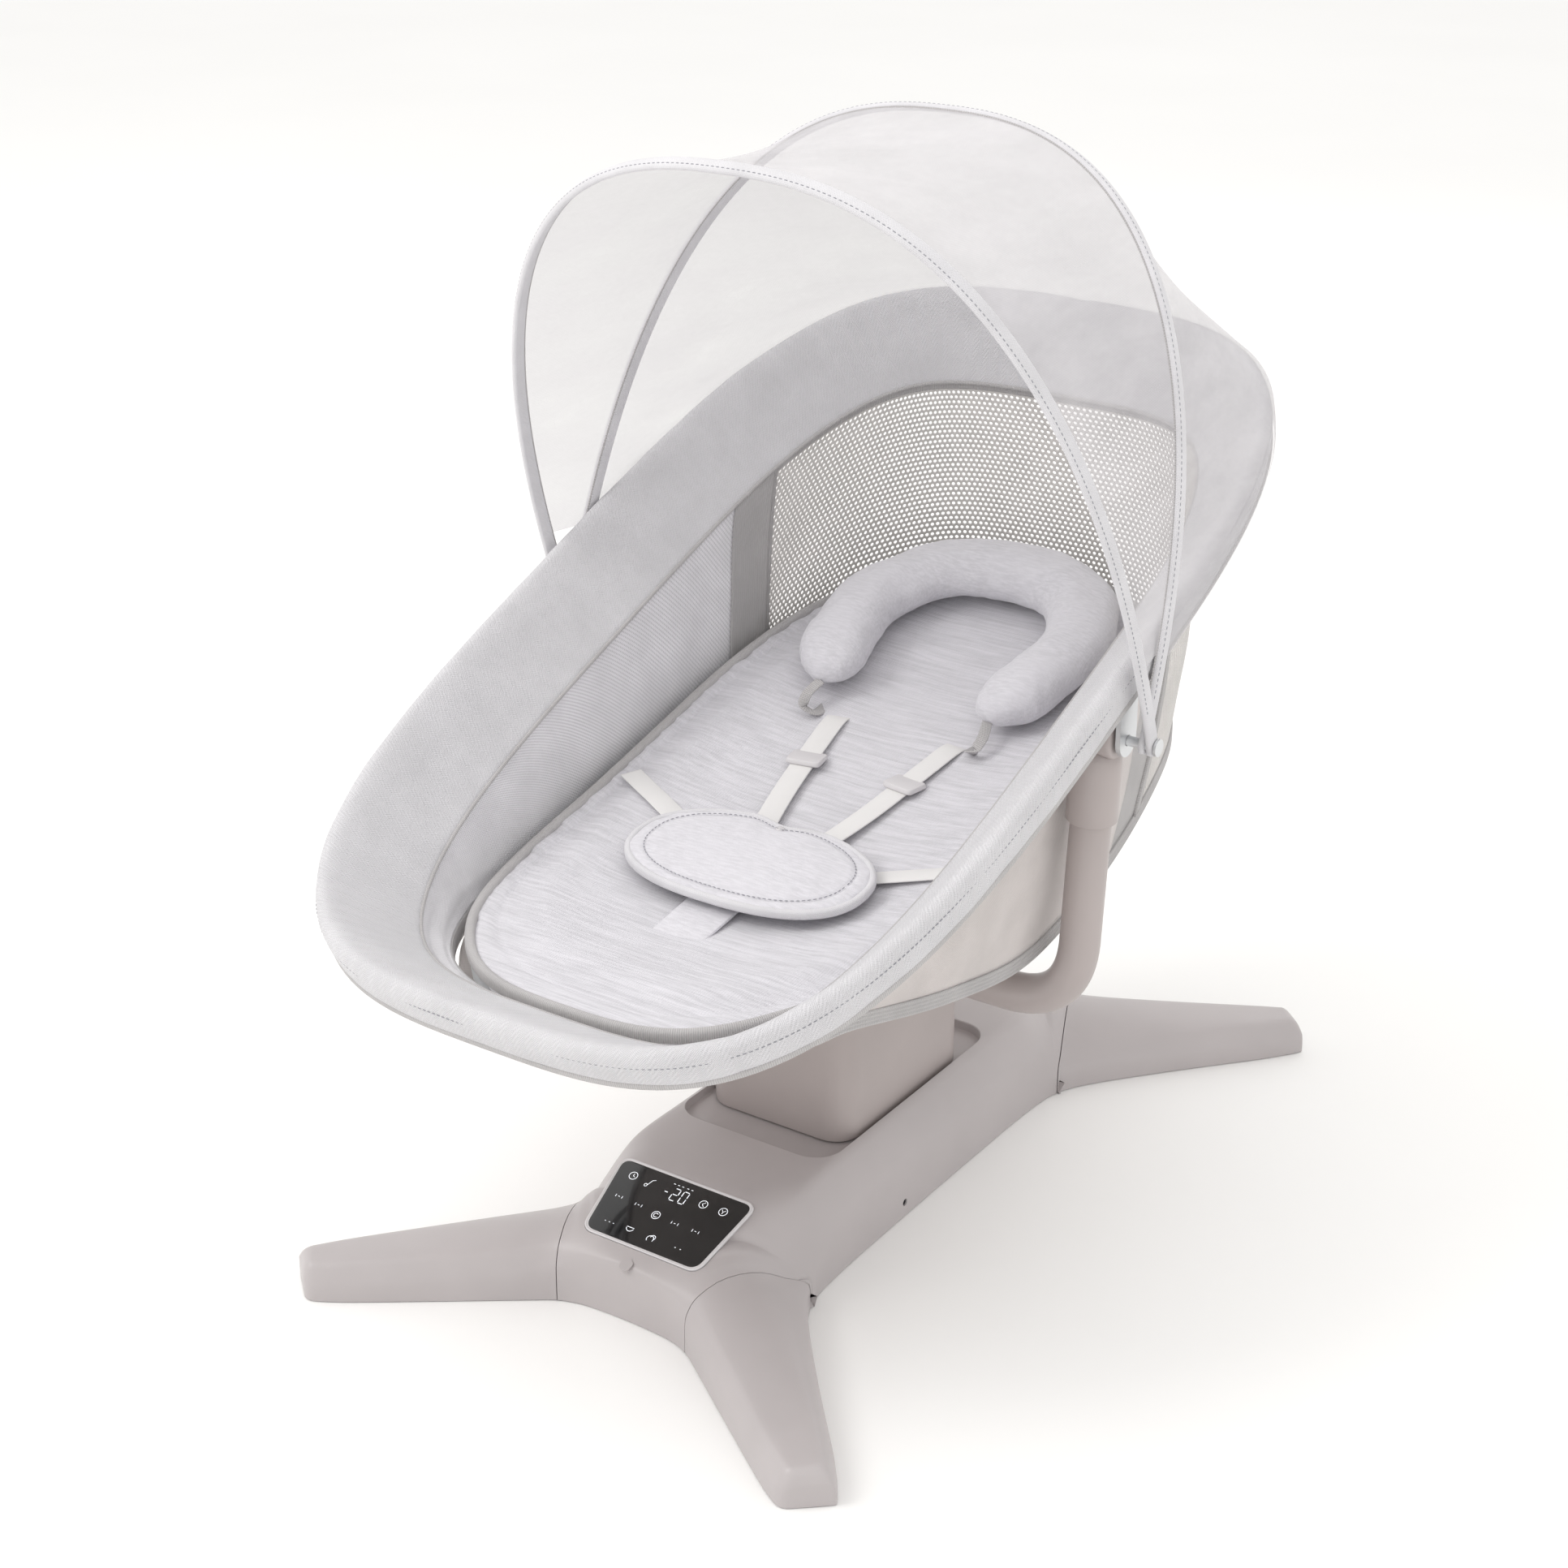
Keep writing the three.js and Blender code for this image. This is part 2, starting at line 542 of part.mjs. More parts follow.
/** The yoke's centre line, from the left arm's top to the right arm's top. */
function yokePath() {
  const path = new THREE.CurvePath();
  const lean = YOKE.lean;
  const point = (x, z) => new THREE.Vector3(x, 0, z);
  const [bendX, bendZ] = [YOKE.halfX - YOKE.bend, YOKE.low + YOKE.bend];
  const tipX = YOKE.halfX + (YOKE.top - bendZ) * lean;
  const bendTop = (side) => point(side * YOKE.halfX, bendZ + 6);
  const bendLow = (side) => point(side * bendX, YOKE.low);
  const corner = (side) => point(side * (YOKE.halfX - 1), YOKE.low + 2);
  path.add(new THREE.LineCurve3(point(-tipX, YOKE.top), bendTop(-1)));
  path.add(new THREE.QuadraticBezierCurve3(bendTop(-1), corner(-1), bendLow(-1)));
  path.add(new THREE.LineCurve3(bendLow(-1), bendLow(1)));
  path.add(new THREE.QuadraticBezierCurve3(bendLow(1), corner(1), bendTop(1)));
  path.add(new THREE.LineCurve3(bendTop(1), point(tipX, YOKE.top)));
  return path;
}

/** A round bar along the yoke's centre line, its rings placed at chosen steps. */
function yokeBar(radius) {
  const path = yokePath();
  const steps = [];
  path.curves.forEach((curve, i) => {
    const count = i % 2 === 1 ? 10 : 1;
    for (let k = i === 0 ? 0 : 1; k <= count; k += 1) steps.push([curve, k / count]);
  });
  const rings = steps.map(([curve, t]) => {
    const centre = curve.getPoint(t);
    const along = curve.getTangent(t);
    const up = new THREE.Vector3(-along.z, 0, along.x);
    const ring = [];
    for (let k = 0; k < 16; k += 1) {
      const angle = (k * Math.PI) / 8;
      const out = up.clone().multiplyScalar(Math.cos(angle) * radius);
      ring.push([centre.x + out.x, Math.sin(angle) * radius, centre.z + out.z]);
    }
    return ring;
  });
  return loft(rings);
}

/** Clearance hole for the right hub's pin. */
function pinBore() {
  return rod([HUB.inner - 19, 0, HUB.z], [HUB.outer + 50, 0, HUB.z], PIN_RADIUS + GAP, 16);
}

function yoke() {
  add('yoke_tube', yokeBar(YOKE.radius), armPlastic);
  const axisX = (z) => YOKE.halfX + (z - YOKE.low - YOKE.bend) * YOKE.lean;
  const onAxis = (z) => [axisX(z), 0, z];
  const shoulder = onAxis(HUB.shoulder);
  let hub = rod(onAxis(HUB.sleeveLow), shoulder, HUB.sleeve, 28);
  hub = hub.add(rod(shoulder, onAxis(HUB.top), HUB.sleeve, 28, HUB.sleeve - 5.2));
  hub = hub.add(rod([HUB.inner, 0, HUB.z], [HUB.outer, 0, HUB.z], HUB.radius, 28));
  hub = hub.subtract(rod(onAxis(HUB.sleeveLow - 9), onAxis(YOKE.top + 1), YOKE.radius + GAP, 24));
  hub = hub.subtract(pinBore());
  const buttonAt = (y) => [axisX(BUTTON.z), y, BUTTON.z];
  const pocket = rod(buttonAt(BUTTON.floor), buttonAt(BUTTON.outer + 8), BUTTON.radius + GAP, 20);
  add('hub_housing_right', hub.subtract(pocket), armPlastic);
  add('hub_housing_left', mirrorX(hub.subtract(pocket)), armPlastic);
  const button = rod(buttonAt(BUTTON.inner), buttonAt(BUTTON.outer), BUTTON.radius, 20);
  add('recline_button_right', button, paleTrim);
  add('recline_button_left', mirrorX(button), paleTrim);
}

// ---- Seat frame: everything below is placed in the seat's tilted plane ---------------------------
const sine = Math.sin(SEAT_TILT);
const cosine = Math.cos(SEAT_TILT);

/** World place of a point given across, along and square to the rim's plane. */
function seatPoint(x, s, n) {
  return [x, s * cosine - n * sine, RIM_HEIGHT + s * sine + n * cosine];
}

/** A point of a rounded oblong at a polar angle, with its outward direction. */
function oblong(halfX, halfY, power, angle) {
  const [c, s] = [Math.cos(angle), Math.sin(angle)];
  const reach = (Math.abs(c / halfX) ** power + Math.abs(s / halfY) ** power) ** (-1 / power);
  const [x, y] = [reach * c, reach * s];
  const out = new THREE.Vector2(
    Math.sign(x) * (Math.abs(x / halfX) ** (power - 1)) / halfX,
    Math.sign(y) * (Math.abs(y / halfY) ** (power - 1)) / halfY,
  ).normalize();
  return { x, y, out };
}

/** A point of the rim at a polar angle, moved inwards and along the plane's normal. */
function rimPoint(angle, inset, n) {
  const { x, y, out } = oblong(RIM.halfX, RIM.halfS, RIM.power, angle);
  return seatPoint(x - out.x * inset, RIM.centreS + y - out.y * inset, n);
}

const HEM_HEIGHTS = [[-372, 299], [-287, 296], [-242, 296], [-139, 274], [-39, 257], [36, 264], [117, 288],
  [215, 320], [305, 338], [358, 352]];

/** Smooth height read off rows of [place, height]. */
function smoothHeight(rows, y) {
  if (y <= rows[0][0]) return rows[0][1];
  if (y >= rows[rows.length - 1][0]) return rows[rows.length - 1][1];
  const i = rows.findIndex(([place]) => place > y) - 1;
  const t = i + (y - rows[i][0]) / (rows[i + 1][0] - rows[i][0]);
  return blendRows(rows, t)[1];
}

/** Height of the seat's lower edge. */
function hemHeight(y) {
  return smoothHeight(HEM_HEIGHTS, y);
}

function hemPoint(angle, inset, rise) {
  const { x, y, out } = oblong(HEM.halfX, HEM.halfY, HEM.power, angle);
  const [px, py] = [x - out.x * inset, HEM.centreY + y - out.y * inset];
  return [px, py, hemHeight(py) + rise];
}

function angles(from, to, count) {
  return Array.from({ length: count + 1 }, (_, i) => THREE.MathUtils.degToRad(lerp(from, to, i / count)));
}

// Cross-section of the padded rim: how far inside its outline, and how far above its plane.
const RIM_SECTION = [[0, -8], [1.5, -2], [6, 1.2], [12, 0], [39, -27], [65, -57], [60, -62], [6.9, -4.8],
  [3.4, -8], [3.4, -30], [0, -30]];
const BRACKET = { inner: 253.4, outer: 257.4, half: 13, collarRadius: 8.1, collarHalf: 14 };
const PIN = { inner: 214, outer: 283.4, head: 2, headRadius: 6.8 };

const AROUND = 60;
const fullTurn = angles(0, 360, AROUND).slice(0, -1);

function seatFrame() {
  const ring = fullTurn.map((angle) => {
    const points = [];
    for (let k = 0; k < 6; k += 1) {
      const turn = (k * Math.PI) / 3;
      const [side, up] = [RING.radius * Math.cos(turn), RING.radius * Math.sin(turn)];
      points.push(rimPoint(angle, RING.inset + side, RING.drop + up));
    }
    return points;
  });
  add('seat_frame_ring', loft(ring, true), steel);

  const rimRings = fullTurn.map((angle) => RIM_SECTION.map(([a, b]) => rimPoint(angle, a, b)));
  add('rim_pad', loft(rimRings, true), rimFabric);

  const middle = ringAtHub();
  const { inner, outer, half, collarRadius, collarHalf } = BRACKET;
  const plate = box(inner, outer, -half, half, HUB.z, middle[2]);
  const eye = rod([inner, 0, HUB.z], [outer, 0, HUB.z], half, 24);
  const collarEnd = (d) => [RIM.halfX - RING.inset, middle[1] + cosine * d, middle[2] + sine * d];
  const collar = rod(collarEnd(-collarHalf), collarEnd(collarHalf), collarRadius, 20);
  const ringHole = rod(collarEnd(-collarHalf - 6), collarEnd(collarHalf + 6), RING.radius + GAP + 0.1, 20);
  const bracket = plate.add(eye).add(collar).subtract(ringHole).subtract(pinBore());
  add('hub_bracket_right', bracket, steel);
  add('hub_bracket_left', mirrorX(bracket), steel);
  const shank = rod([PIN.inner, 0, HUB.z], [PIN.outer - PIN.head + 0.1, 0, HUB.z], PIN_RADIUS, 16);
  const pin = shank.add(rod([PIN.outer - PIN.head, 0, HUB.z], [PIN.outer, 0, HUB.z], PIN.headRadius, 20));
  add('hub_pin_right', pin, steel);
  add('hub_pin_left', mirrorX(pin), steel);
}

/** Centre of the frame ring straight above the hub. */
function ringAtHub() {
  const s = (RING.drop * sine) / cosine;
  return seatPoint(RIM.halfX - RING.inset, s, RING.drop);
}

// ---- Seat walls ---------------------------------------------------------------------------------
const WALL_TOP = { inset: 60.5, drop: -62.8, thick: 3.5 };
const WALL_BULGE = 5;
const HEM_RISE = 6;

/** Cross-section of the fabric wall at a polar angle, bowed slightly outwards. */
function wallSection(angle) {
  const section = [];
  const levels = [0, 0.33, 0.67, 1];
  for (const [thick, order] of [[0, levels], [WALL_TOP.thick, [...levels].reverse()]]) {
    const top = rimPoint(angle, WALL_TOP.inset + thick, WALL_TOP.drop);
    const low = hemPoint(angle, thick, HEM_RISE);
    const { out } = oblong(HEM.halfX, HEM.halfY, HEM.power, angle);
    for (const f of order) {
      const bulge = WALL_BULGE * 4 * f * (1 - f) * Math.min(1, Math.abs(top[2] - low[2]) / 120);
      section.push([lerp(top[0], low[0], f) + out.x * bulge, lerp(top[1], low[1], f) + out.y * bulge,
        lerp(top[2], low[2], f)]);
    }
  }
  return section;
}

function walls() {
  const gapAngle = 0.12;
  const panelOf = (from, to, count) => loft(angles(from, to, count).map(wallSection));
  const lowerPanel = panelOf(180 - TAPE_START + gapAngle, 360 + TAPE_START - gapAngle, 44);
  add('wall_lower_panel', lowerPanel, wallFabric);
  add('wall_mesh_panel', panelOf(TAPE_END + gapAngle, 180 - TAPE_END - gapAngle, 22), meshFabric);
  add('side_tape_right', panelOf(TAPE_START, TAPE_END, 3), bindingFabric);
  add('side_tape_left', panelOf(180 - TAPE_END, 180 - TAPE_START, 3), bindingFabric);

  const bindingTop = HEM_RISE - 1.2;
  const binding = fullTurn.map((angle) => [[-1.5, -5], [-1.5, bindingTop], [6, bindingTop], [6, -5]]
    .map(([inset, rise]) => hemPoint(angle, inset, rise)));
  add('bottom_binding', loft(binding, true), bindingFabric);
  const lower = (x, y) => Math.min(hemHeight(y) - 4, matLow(x, y) - SUPPORT_DEPTH - 4);
  add('seat_bottom', sheetSolid(hemOutline, lower, () => 3, HEM.centreY - HEM.halfY + 8,
    HEM.centreY + HEM.halfY - 8, 22, 8), wallFabric);
}

/** Half-width of the seat's inside at a place along it, inside the bottom binding. */
function hemOutline(y) {
  const f = Math.abs((y - HEM.centreY) / (HEM.halfY - 7.5));
  return f >= 1 ? 0 : (HEM.halfX - 7.5) * (1 - f ** HEM.power) ** (1 / HEM.power);
}

/** A sheet over an outline, with a lower surface and a thickness, lofted along Y. */
function sheetSolid(halfWidth, lower, thickness, from, to, rows = 22, across = 8) {
  const rings = [];
  for (let i = 0; i <= rows; i += 1) {
    const angle = (i / rows) * Math.PI;
    const y = (from + to) / 2 - ((to - from) / 2) * Math.cos(angle) * 0.9995;
    const half = Math.max(halfWidth(y), 2);
    const [low, high] = [[], []];
    for (let k = 0; k <= across; k += 1) {
      const x = lerp(-half, half, k / across);
      low.push([x, y, lower(x, y)]);
      high.push([x, y, lower(x, y) + thickness(x, y)]);
    }
    rings.push([...low, ...high.reverse()]);
  }
  return loft(rings);
}

// ---- Mat, pillow and harness --------------------------------------------------------------------
const MAT = { halfX: 183, from: -362, to: 338, sag: 20, power: 2.9 };
const SUPPORT_DEPTH = 5.5;            // the mat's stiff board with its gap to the mat
const MAT_EDGE = [[-362, 310], [-300, 321], [-200, 323], [-100, 334], [0, 357], [100, 384], [200, 409],
  [300, 430], [338, 438]];            // places along the mat, and its edge's height at each

function matHalf(y) {
  const middle = (MAT.from + MAT.to) / 2;
  const f = Math.abs((y - middle) / ((MAT.to - MAT.from) / 2));
  return f >= 1 ? 0 : MAT.halfX * (1 - f ** MAT.power) ** (1 / MAT.power);
}

function matEdge(y) {
  return smoothHeight(MAT_EDGE, y);
}

/** Upper surface of the mat. */
function matTop(x, y) {
  const across = Math.min(1, Math.abs(x) / MAT.halfX);
  const along = 1 - Math.abs((y - (MAT.from + MAT.to) / 2) / ((MAT.to - MAT.from) / 2)) ** 4;
  return matEdge(y) - MAT.sag * (1 - across ** 2) * Math.max(0, along);
}

function matThick(x) {
  return 10 + 12 * (1 - Math.min(1, Math.abs(x) / MAT.halfX) ** 4);
}

function matLow(x, y) {
  return matTop(x, y) - matThick(x);
}

/** A strap of webbing over the mat: a list of [x, y, height above the mat], and its width. */
function strap(stops, width, thick = 1.8) {
  const places = stops.map(([x, y, h]) => new THREE.Vector3(x, y, matTop(x, y) + h));
  const curve = new THREE.CatmullRomCurve3(places);
  const count = stops.length * 3;
  const rings = [];
  for (let i = 0; i <= count; i += 1) {
    const centre = curve.getPoint(i / count);
    const along = curve.getTangent(i / count);
    const across = new THREE.Vector3(-along.y, along.x, 0).normalize().multiplyScalar(width / 2);
    const up = new THREE.Vector3().crossVectors(across, along).normalize();
    if (up.z < 0) up.negate();
    up.multiplyScalar(thick);
    const at = (a, u) => centre.clone().addScaledVector(across, a).addScaledVector(up, u).toArray();
    rings.push([at(-1, 0), at(1, 0), at(1, 1), at(-1, 1)]);
  }
  return loft(rings);
}

const BUCKLE = { y: -128, halfX: 27, halfY: 21, low: 4, high: 16, wellX: 9, wellY: 10 };
const WEBBING = 20;                   // width of the lap and shoulder straps
const CROTCH_WIDTH = 46;

const COVER = { halfX: 108, halfY: 60, power: 2.3, notch: 9 };

/** Kidney outline of the buckle cover, as polar reach. */
function coverReach(angle) {
  const { x, y } = oblong(COVER.halfX, COVER.halfY, COVER.power, angle);
  return Math.hypot(x, y) - COVER.notch * Math.max(0, Math.sin(angle)) ** 12;
}

function buckleCover() {
  const every = fullTurn.filter((_, i) => i % 3 === 0);
  const ringOf = ([share, rise]) => every.map((angle) => {
    const reach = coverReach(angle) * share;
    const [x, y] = [Math.cos(angle) * reach, Math.sin(angle) * reach];
    return [x, BUCKLE.y + y, matTop(x, BUCKLE.y + y) + coverLift(x, y) + rise];
  });
  const lower = [[0.12, 0], [0.5, 0], [0.85, 0], [1, 4]];
  const upper = [[0.9, 9], [0.5, 12], [0.12, 12.5]];
  return loft([...lower, ...upper].map(ringOf));
}

/** The cover rests on the buckle and falls towards its rim. */
function coverLift(x, y) {
  return 21.5 - 13 * Math.min(1, (x / COVER.halfX) ** 2 + (y / 80) ** 2);
}

function mat() {
  add('seat_mat', sheetSolid(matHalf, matLow, (x) => matThick(x), MAT.from, MAT.to), matFabric);
  const supportLow = (x, y) => matLow(x, y) - SUPPORT_DEPTH;
  add('seat_support', sheetSolid(matHalf, supportLow, () => 3, MAT.from, MAT.to), greyAcetal);
  add('head_pillow', pillow(), matFabric);
}

const PILLOW = { halfWidth: 34, halfHeight: 25, centre: 32 };
const PILLOW_SPINE = [[-82, 96], [-98, 150], [-98, 215], [-62, 268], [0, 284], [62, 268], [98, 215], [98, 150],
  [82, 96]];

function pillow() {
  const spine = new THREE.CatmullRomCurve3(PILLOW_SPINE.map(([x, y]) => new THREE.Vector3(x, y, 0)));
  const rings = [];
  const count = 26;
  for (let i = 0; i <= count; i += 1) {
    const t = i / count;
    const centre = spine.getPoint(t);
    const along = spine.getTangent(t);
    const across = new THREE.Vector2(-along.y, along.x).normalize();
    const end = Math.min(t, 1 - t);
    const size = Math.sqrt(Math.min(1, (end + 0.012) / 0.1));
    const ring = [];
    for (let k = 0; k < 10; k += 1) {
      const angle = (k * Math.PI) / 5;
      const reach = PILLOW.halfWidth * size * Math.cos(angle);
      const [x, y] = [centre.x + across.x * reach, centre.y + across.y * reach];
      const seat = matTop(centre.x, centre.y);
      const slope = Math.max((matTop(x, y) - seat) * 0.9, -30);
      ring.push([x, y, seat + slope + PILLOW.centre + PILLOW.halfHeight * size * Math.sin(angle)]);
    }
    rings.push(ring);
  }
  return loft(rings);
}

function harness() {
  const y = BUCKLE.y;
  const floor = matTop(0, y);
  const buckle = box(-BUCKLE.halfX, BUCKLE.halfX, y - BUCKLE.halfY, y + BUCKLE.halfY, floor + BUCKLE.low,
    floor + BUCKLE.high);
  const { wellX, wellY } = BUCKLE;
  const face = floor + BUCKLE.high;
  const well = box(-wellX, wellX, y - wellY, y + wellY, face - 5, face + 14);
  add('harness_buckle', buckle.subtract(well), blackPlastic);
  const [keyX, keyY] = [wellX - GAP, wellY - GAP];
  add('buckle_button', box(-keyX, keyX, y - keyY, y + keyY, face - 2.4, face + 1), rubber);
  add('buckle_cover', buckleCover(), matFabric);
  const crotch = [[0, -222, 1.5], [0, -200, 2.5], [0, -175, 5], [0, y - BUCKLE.halfY - 1, 8]];
  add('crotch_strap', strap(crotch, CROTCH_WIDTH, 3), matFabric);
  for (const [side, sign] of [['right', 1], ['left', -1]]) {
    const lap = strap([[sign * 160, -62, 2], [sign * 120, -78, 3], [sign * 75, -100, 4],
      [sign * (BUCKLE.halfX + 6), y - 3, 7]], WEBBING);
    add(`lap_strap_${side}`, lap, webbing);
    const shoulder = strap([[sign * 58, 92, 2], [sign * 52, 50, 4], [sign * 40, -20, 5], [sign * 26, -80, 6],
      [sign * 14, y + BUCKLE.halfY + 5, 8]], WEBBING);
    add(`shoulder_strap_${side}`, shoulder, webbing);
  }
}

// ---- Canopy -------------------------------------------------------------------------------------
/** A point of a canopy bow: turn runs from 0 at the right hub to pi at the left hub. */
function bowPoint(bow, turn, grow = 0, shift = 0) {
  const [c, s] = [Math.cos(turn), Math.sin(turn)];
  const x = Math.sign(c) * Math.abs(c) ** (2 / BOW_POWER) * (bow.halfX + grow);
  const height = Math.max(0, s) ** (2 / BOW_POWER) * (bow.reach + grow);
  const lean = THREE.MathUtils.degToRad(bow.lean);
  const y = height * Math.sin(lean) + shift * Math.cos(lean);
  return [x, y, HUB.z + height * Math.cos(lean) - shift * Math.sin(lean)];
}

/** Turns along a bow, closer together at the hubs. */
function bowTurns(count) {
  const eased = (f) => 0.75 * f + 0.5 * f * f;
  return Array.from({ length: count + 1 }, (_, i) => {
    const f = i / count;
    return Math.PI * (f < 0.5 ? eased(f) : 1 - eased(1 - f));
  });
}

function bowSolid(bow) {
  const rings = bowTurns(30).map((turn) => [[-1, -1], [1, -1], [1, 1], [-1, 1]]
    .map(([a, b]) => bowPoint(bow, turn, (a * BOW_THICK) / 2, (b * BOW_WIDTH) / 2)));
  let shape = loft(rings);
  for (const sign of [-1, 1]) {
    const [from, to] = [sign * (bow.halfX - BOW_THICK / 2), sign * (bow.halfX + BOW_THICK / 2)];
    shape = shape.add(rod([from, 0, HUB.z], [to, 0, HUB.z], BOW_WIDTH / 2 + 0.2, 20));
    const bore = rod([from - 9 * sign, 0, HUB.z], [to + 9 * sign, 0, HUB.z], PIN_RADIUS + GAP, 16);
    shape = shape.subtract(bore);
  }
  return shape;
}

/** A thin skin between two edges, each a function of a place from 0 to 1. */
function netSolid(edgeA, edgeB, sag, columns, rows, thick = 1) {
  const rings = [];
  for (let i = 0; i <= columns; i += 1) {
    const f = i / columns;
    const [a, b] = [new THREE.Vector3(...edgeA(f)), new THREE.Vector3(...edgeB(f))];
    const centre = new THREE.Vector3(0, 0, HUB.z + 60);
    const [outer, inner] = [[], []];
    for (let k = 0; k <= rows; k += 1) {
      const g = k / rows;
      const point = a.clone().lerp(b, g);
      const inward = centre.clone().sub(point).normalize();
      point.addScaledVector(inward, sag * 4 * g * (1 - g) * Math.sin(Math.PI * f));
      outer.push(point.toArray());
      inner.push(point.clone().addScaledVector(inward, thick).toArray());
    }
    rings.push([...outer, ...inner.reverse()]);
  }
  return loft(rings);
}

function canopy() {
  add('canopy_front_bow', bowSolid(BOW.front), bindingFabric);
  add('canopy_rear_bow', bowSolid(BOW.rear), bindingFabric);

  const clear = BOW_WIDTH / 2 + 0.8;
  const turnAt = (f, start) => lerp(start, Math.PI - start, f);
  const frontEdge = (f) => bowPoint(BOW.front, turnAt(f, 0.12), -1, clear);
  const rearEdge = (f) => bowPoint(BOW.rear, turnAt(f, 0.12), 1, -clear);
  add('canopy_front_net', netSolid(frontEdge, rearEdge, 8, 18, 4), netFabric);

  const bowEdge = (f) => bowPoint(BOW.rear, turnAt(f, 0.1), 0, clear);
  const rimEdge = (f) => {
    const angle = THREE.MathUtils.degToRad(lerp(14, 166, f));
    return rimPoint(angle, -5, -4);
  };
  add('canopy_rear_net', netSolid(bowEdge, rimEdge, 6, 26, 4), netFabric);
}

base();
panel();
drive();
carriage();
yoke();
seatFrame();
walls();
mat();
harness();
canopy();

export default swing;
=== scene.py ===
"""Electric baby swing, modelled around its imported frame. Everything is in metres, in the frame's own axes:
+Z up, the base's length along Y, and the control panel and the foot end of the seat towards -Y."""
import json
import math
import random

import bmesh
import bpy
import numpy as np
from bpy.props import FloatProperty, FloatVectorProperty, IntProperty, PointerProperty
from mathutils import Matrix, Vector, noise


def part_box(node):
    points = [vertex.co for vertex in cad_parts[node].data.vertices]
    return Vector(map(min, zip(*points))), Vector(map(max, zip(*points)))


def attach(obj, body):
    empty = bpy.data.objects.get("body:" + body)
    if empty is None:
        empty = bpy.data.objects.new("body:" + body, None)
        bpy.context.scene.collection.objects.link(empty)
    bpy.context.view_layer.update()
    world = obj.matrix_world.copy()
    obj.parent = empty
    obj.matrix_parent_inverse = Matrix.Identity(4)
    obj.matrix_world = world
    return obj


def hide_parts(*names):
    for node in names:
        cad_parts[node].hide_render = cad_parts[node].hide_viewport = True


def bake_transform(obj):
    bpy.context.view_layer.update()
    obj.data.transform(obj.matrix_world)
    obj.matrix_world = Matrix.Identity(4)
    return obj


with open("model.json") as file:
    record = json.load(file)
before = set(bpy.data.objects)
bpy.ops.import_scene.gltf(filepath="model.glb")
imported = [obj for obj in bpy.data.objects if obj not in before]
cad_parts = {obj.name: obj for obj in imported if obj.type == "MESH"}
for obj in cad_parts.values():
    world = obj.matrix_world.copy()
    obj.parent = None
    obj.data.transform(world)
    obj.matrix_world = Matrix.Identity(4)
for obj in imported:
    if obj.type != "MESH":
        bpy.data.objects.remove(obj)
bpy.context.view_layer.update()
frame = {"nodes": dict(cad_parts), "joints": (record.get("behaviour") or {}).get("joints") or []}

bl_info = {
    "name": "Baby Swing",
    "version": (1, 0, 0),
    "blender": (4, 5, 0),
    "location": "View3D > Sidebar > Baby Swing",
    "description": "Builds a baby swing with its fabric seat, net canopy and gliding base",
    "category": "Object",
}

MM = 0.001
JOINTS = {joint["name"]: joint for joint in frame["joints"]}
HUB = Vector(JOINTS["recline"]["pos_m"])
PINION = Vector(JOINTS["pinion_spin"]["pos_m"])

# The seat's rim lies in a plane tilted about X, whose height over the hub is RIM_HEIGHT.
SEAT_TILT = math.radians(21.5)
RIM_HEIGHT = 0.523
RIM_CENTRE = -0.042
RIM_POWER = 3.35
HEM_CENTRE = -0.007
HEM_POWER = 3.2
HEM_RISE = 0.006
WALL_TOP = (0.0605, -0.0628)
TAPE_ANGLES = (33.5, 42.0)
BOW_POWER = 2.47
PANEL_TILT = math.atan(0.39)
PANEL_TOP_Y = -0.209
PANEL_CENTRE_Y = -0.246
BASE_TOP = 0.085

# Lower edge of the seat and edge of the mat, as (place along Y, height).
HEM_HEIGHTS = ((-0.372, 0.299), (-0.287, 0.296), (-0.242, 0.296), (-0.139, 0.274), (-0.039, 0.257),
               (0.036, 0.264), (0.117, 0.288), (0.215, 0.320), (0.305, 0.338), (0.358, 0.352))
MAT_HEIGHTS = ((-0.362, 0.310), (-0.300, 0.321), (-0.200, 0.323), (-0.100, 0.334), (0.0, 0.357),
               (0.100, 0.384), (0.200, 0.409), (0.300, 0.430), (0.338, 0.438))


# ---- What a user can change -----------------------------------------------------------------------
def length(name, description, default):
    return FloatProperty(name=name, description=description, default=default, subtype="DISTANCE", unit="LENGTH")


def colour(name, description, default):
    return FloatVectorProperty(name=name, description=description, default=default, subtype="COLOR", size=3,
                               min=0.0, max=1.0)


class SwingSizes(bpy.types.PropertyGroup):
    """Sizes of the soft parts and of the details."""

    rim_half_width: length("Rim half width", "Half the width of the padded rim", 0.265)
    rim_half_length: length("Rim half length", "Half the length of the rim, in its own plane", 0.451)
    hem_half_width: length("Hem half width", "Half the width of the seat's lower edge", 0.190)
    hem_half_length: length("Hem half length", "Half the length of the seat's lower edge", 0.366)
    mat_half_width: length("Mat half width", "Half the width of the mat", 0.183)
    mat_thickness: length("Mat thickness", "Thickness in the middle of the mat", 0.022)
    mesh_pitch: length("Mesh pitch", "Distance between the holes of the head panel's mesh", 0.0052)
    webbing_width: length("Webbing width", "Width of the harness straps", 0.020)
    bow_width: length("Bow width", "Width of the canopy bows", 0.013)
    stitch_length: length("Stitch length", "Length of one stitch", 0.0030)


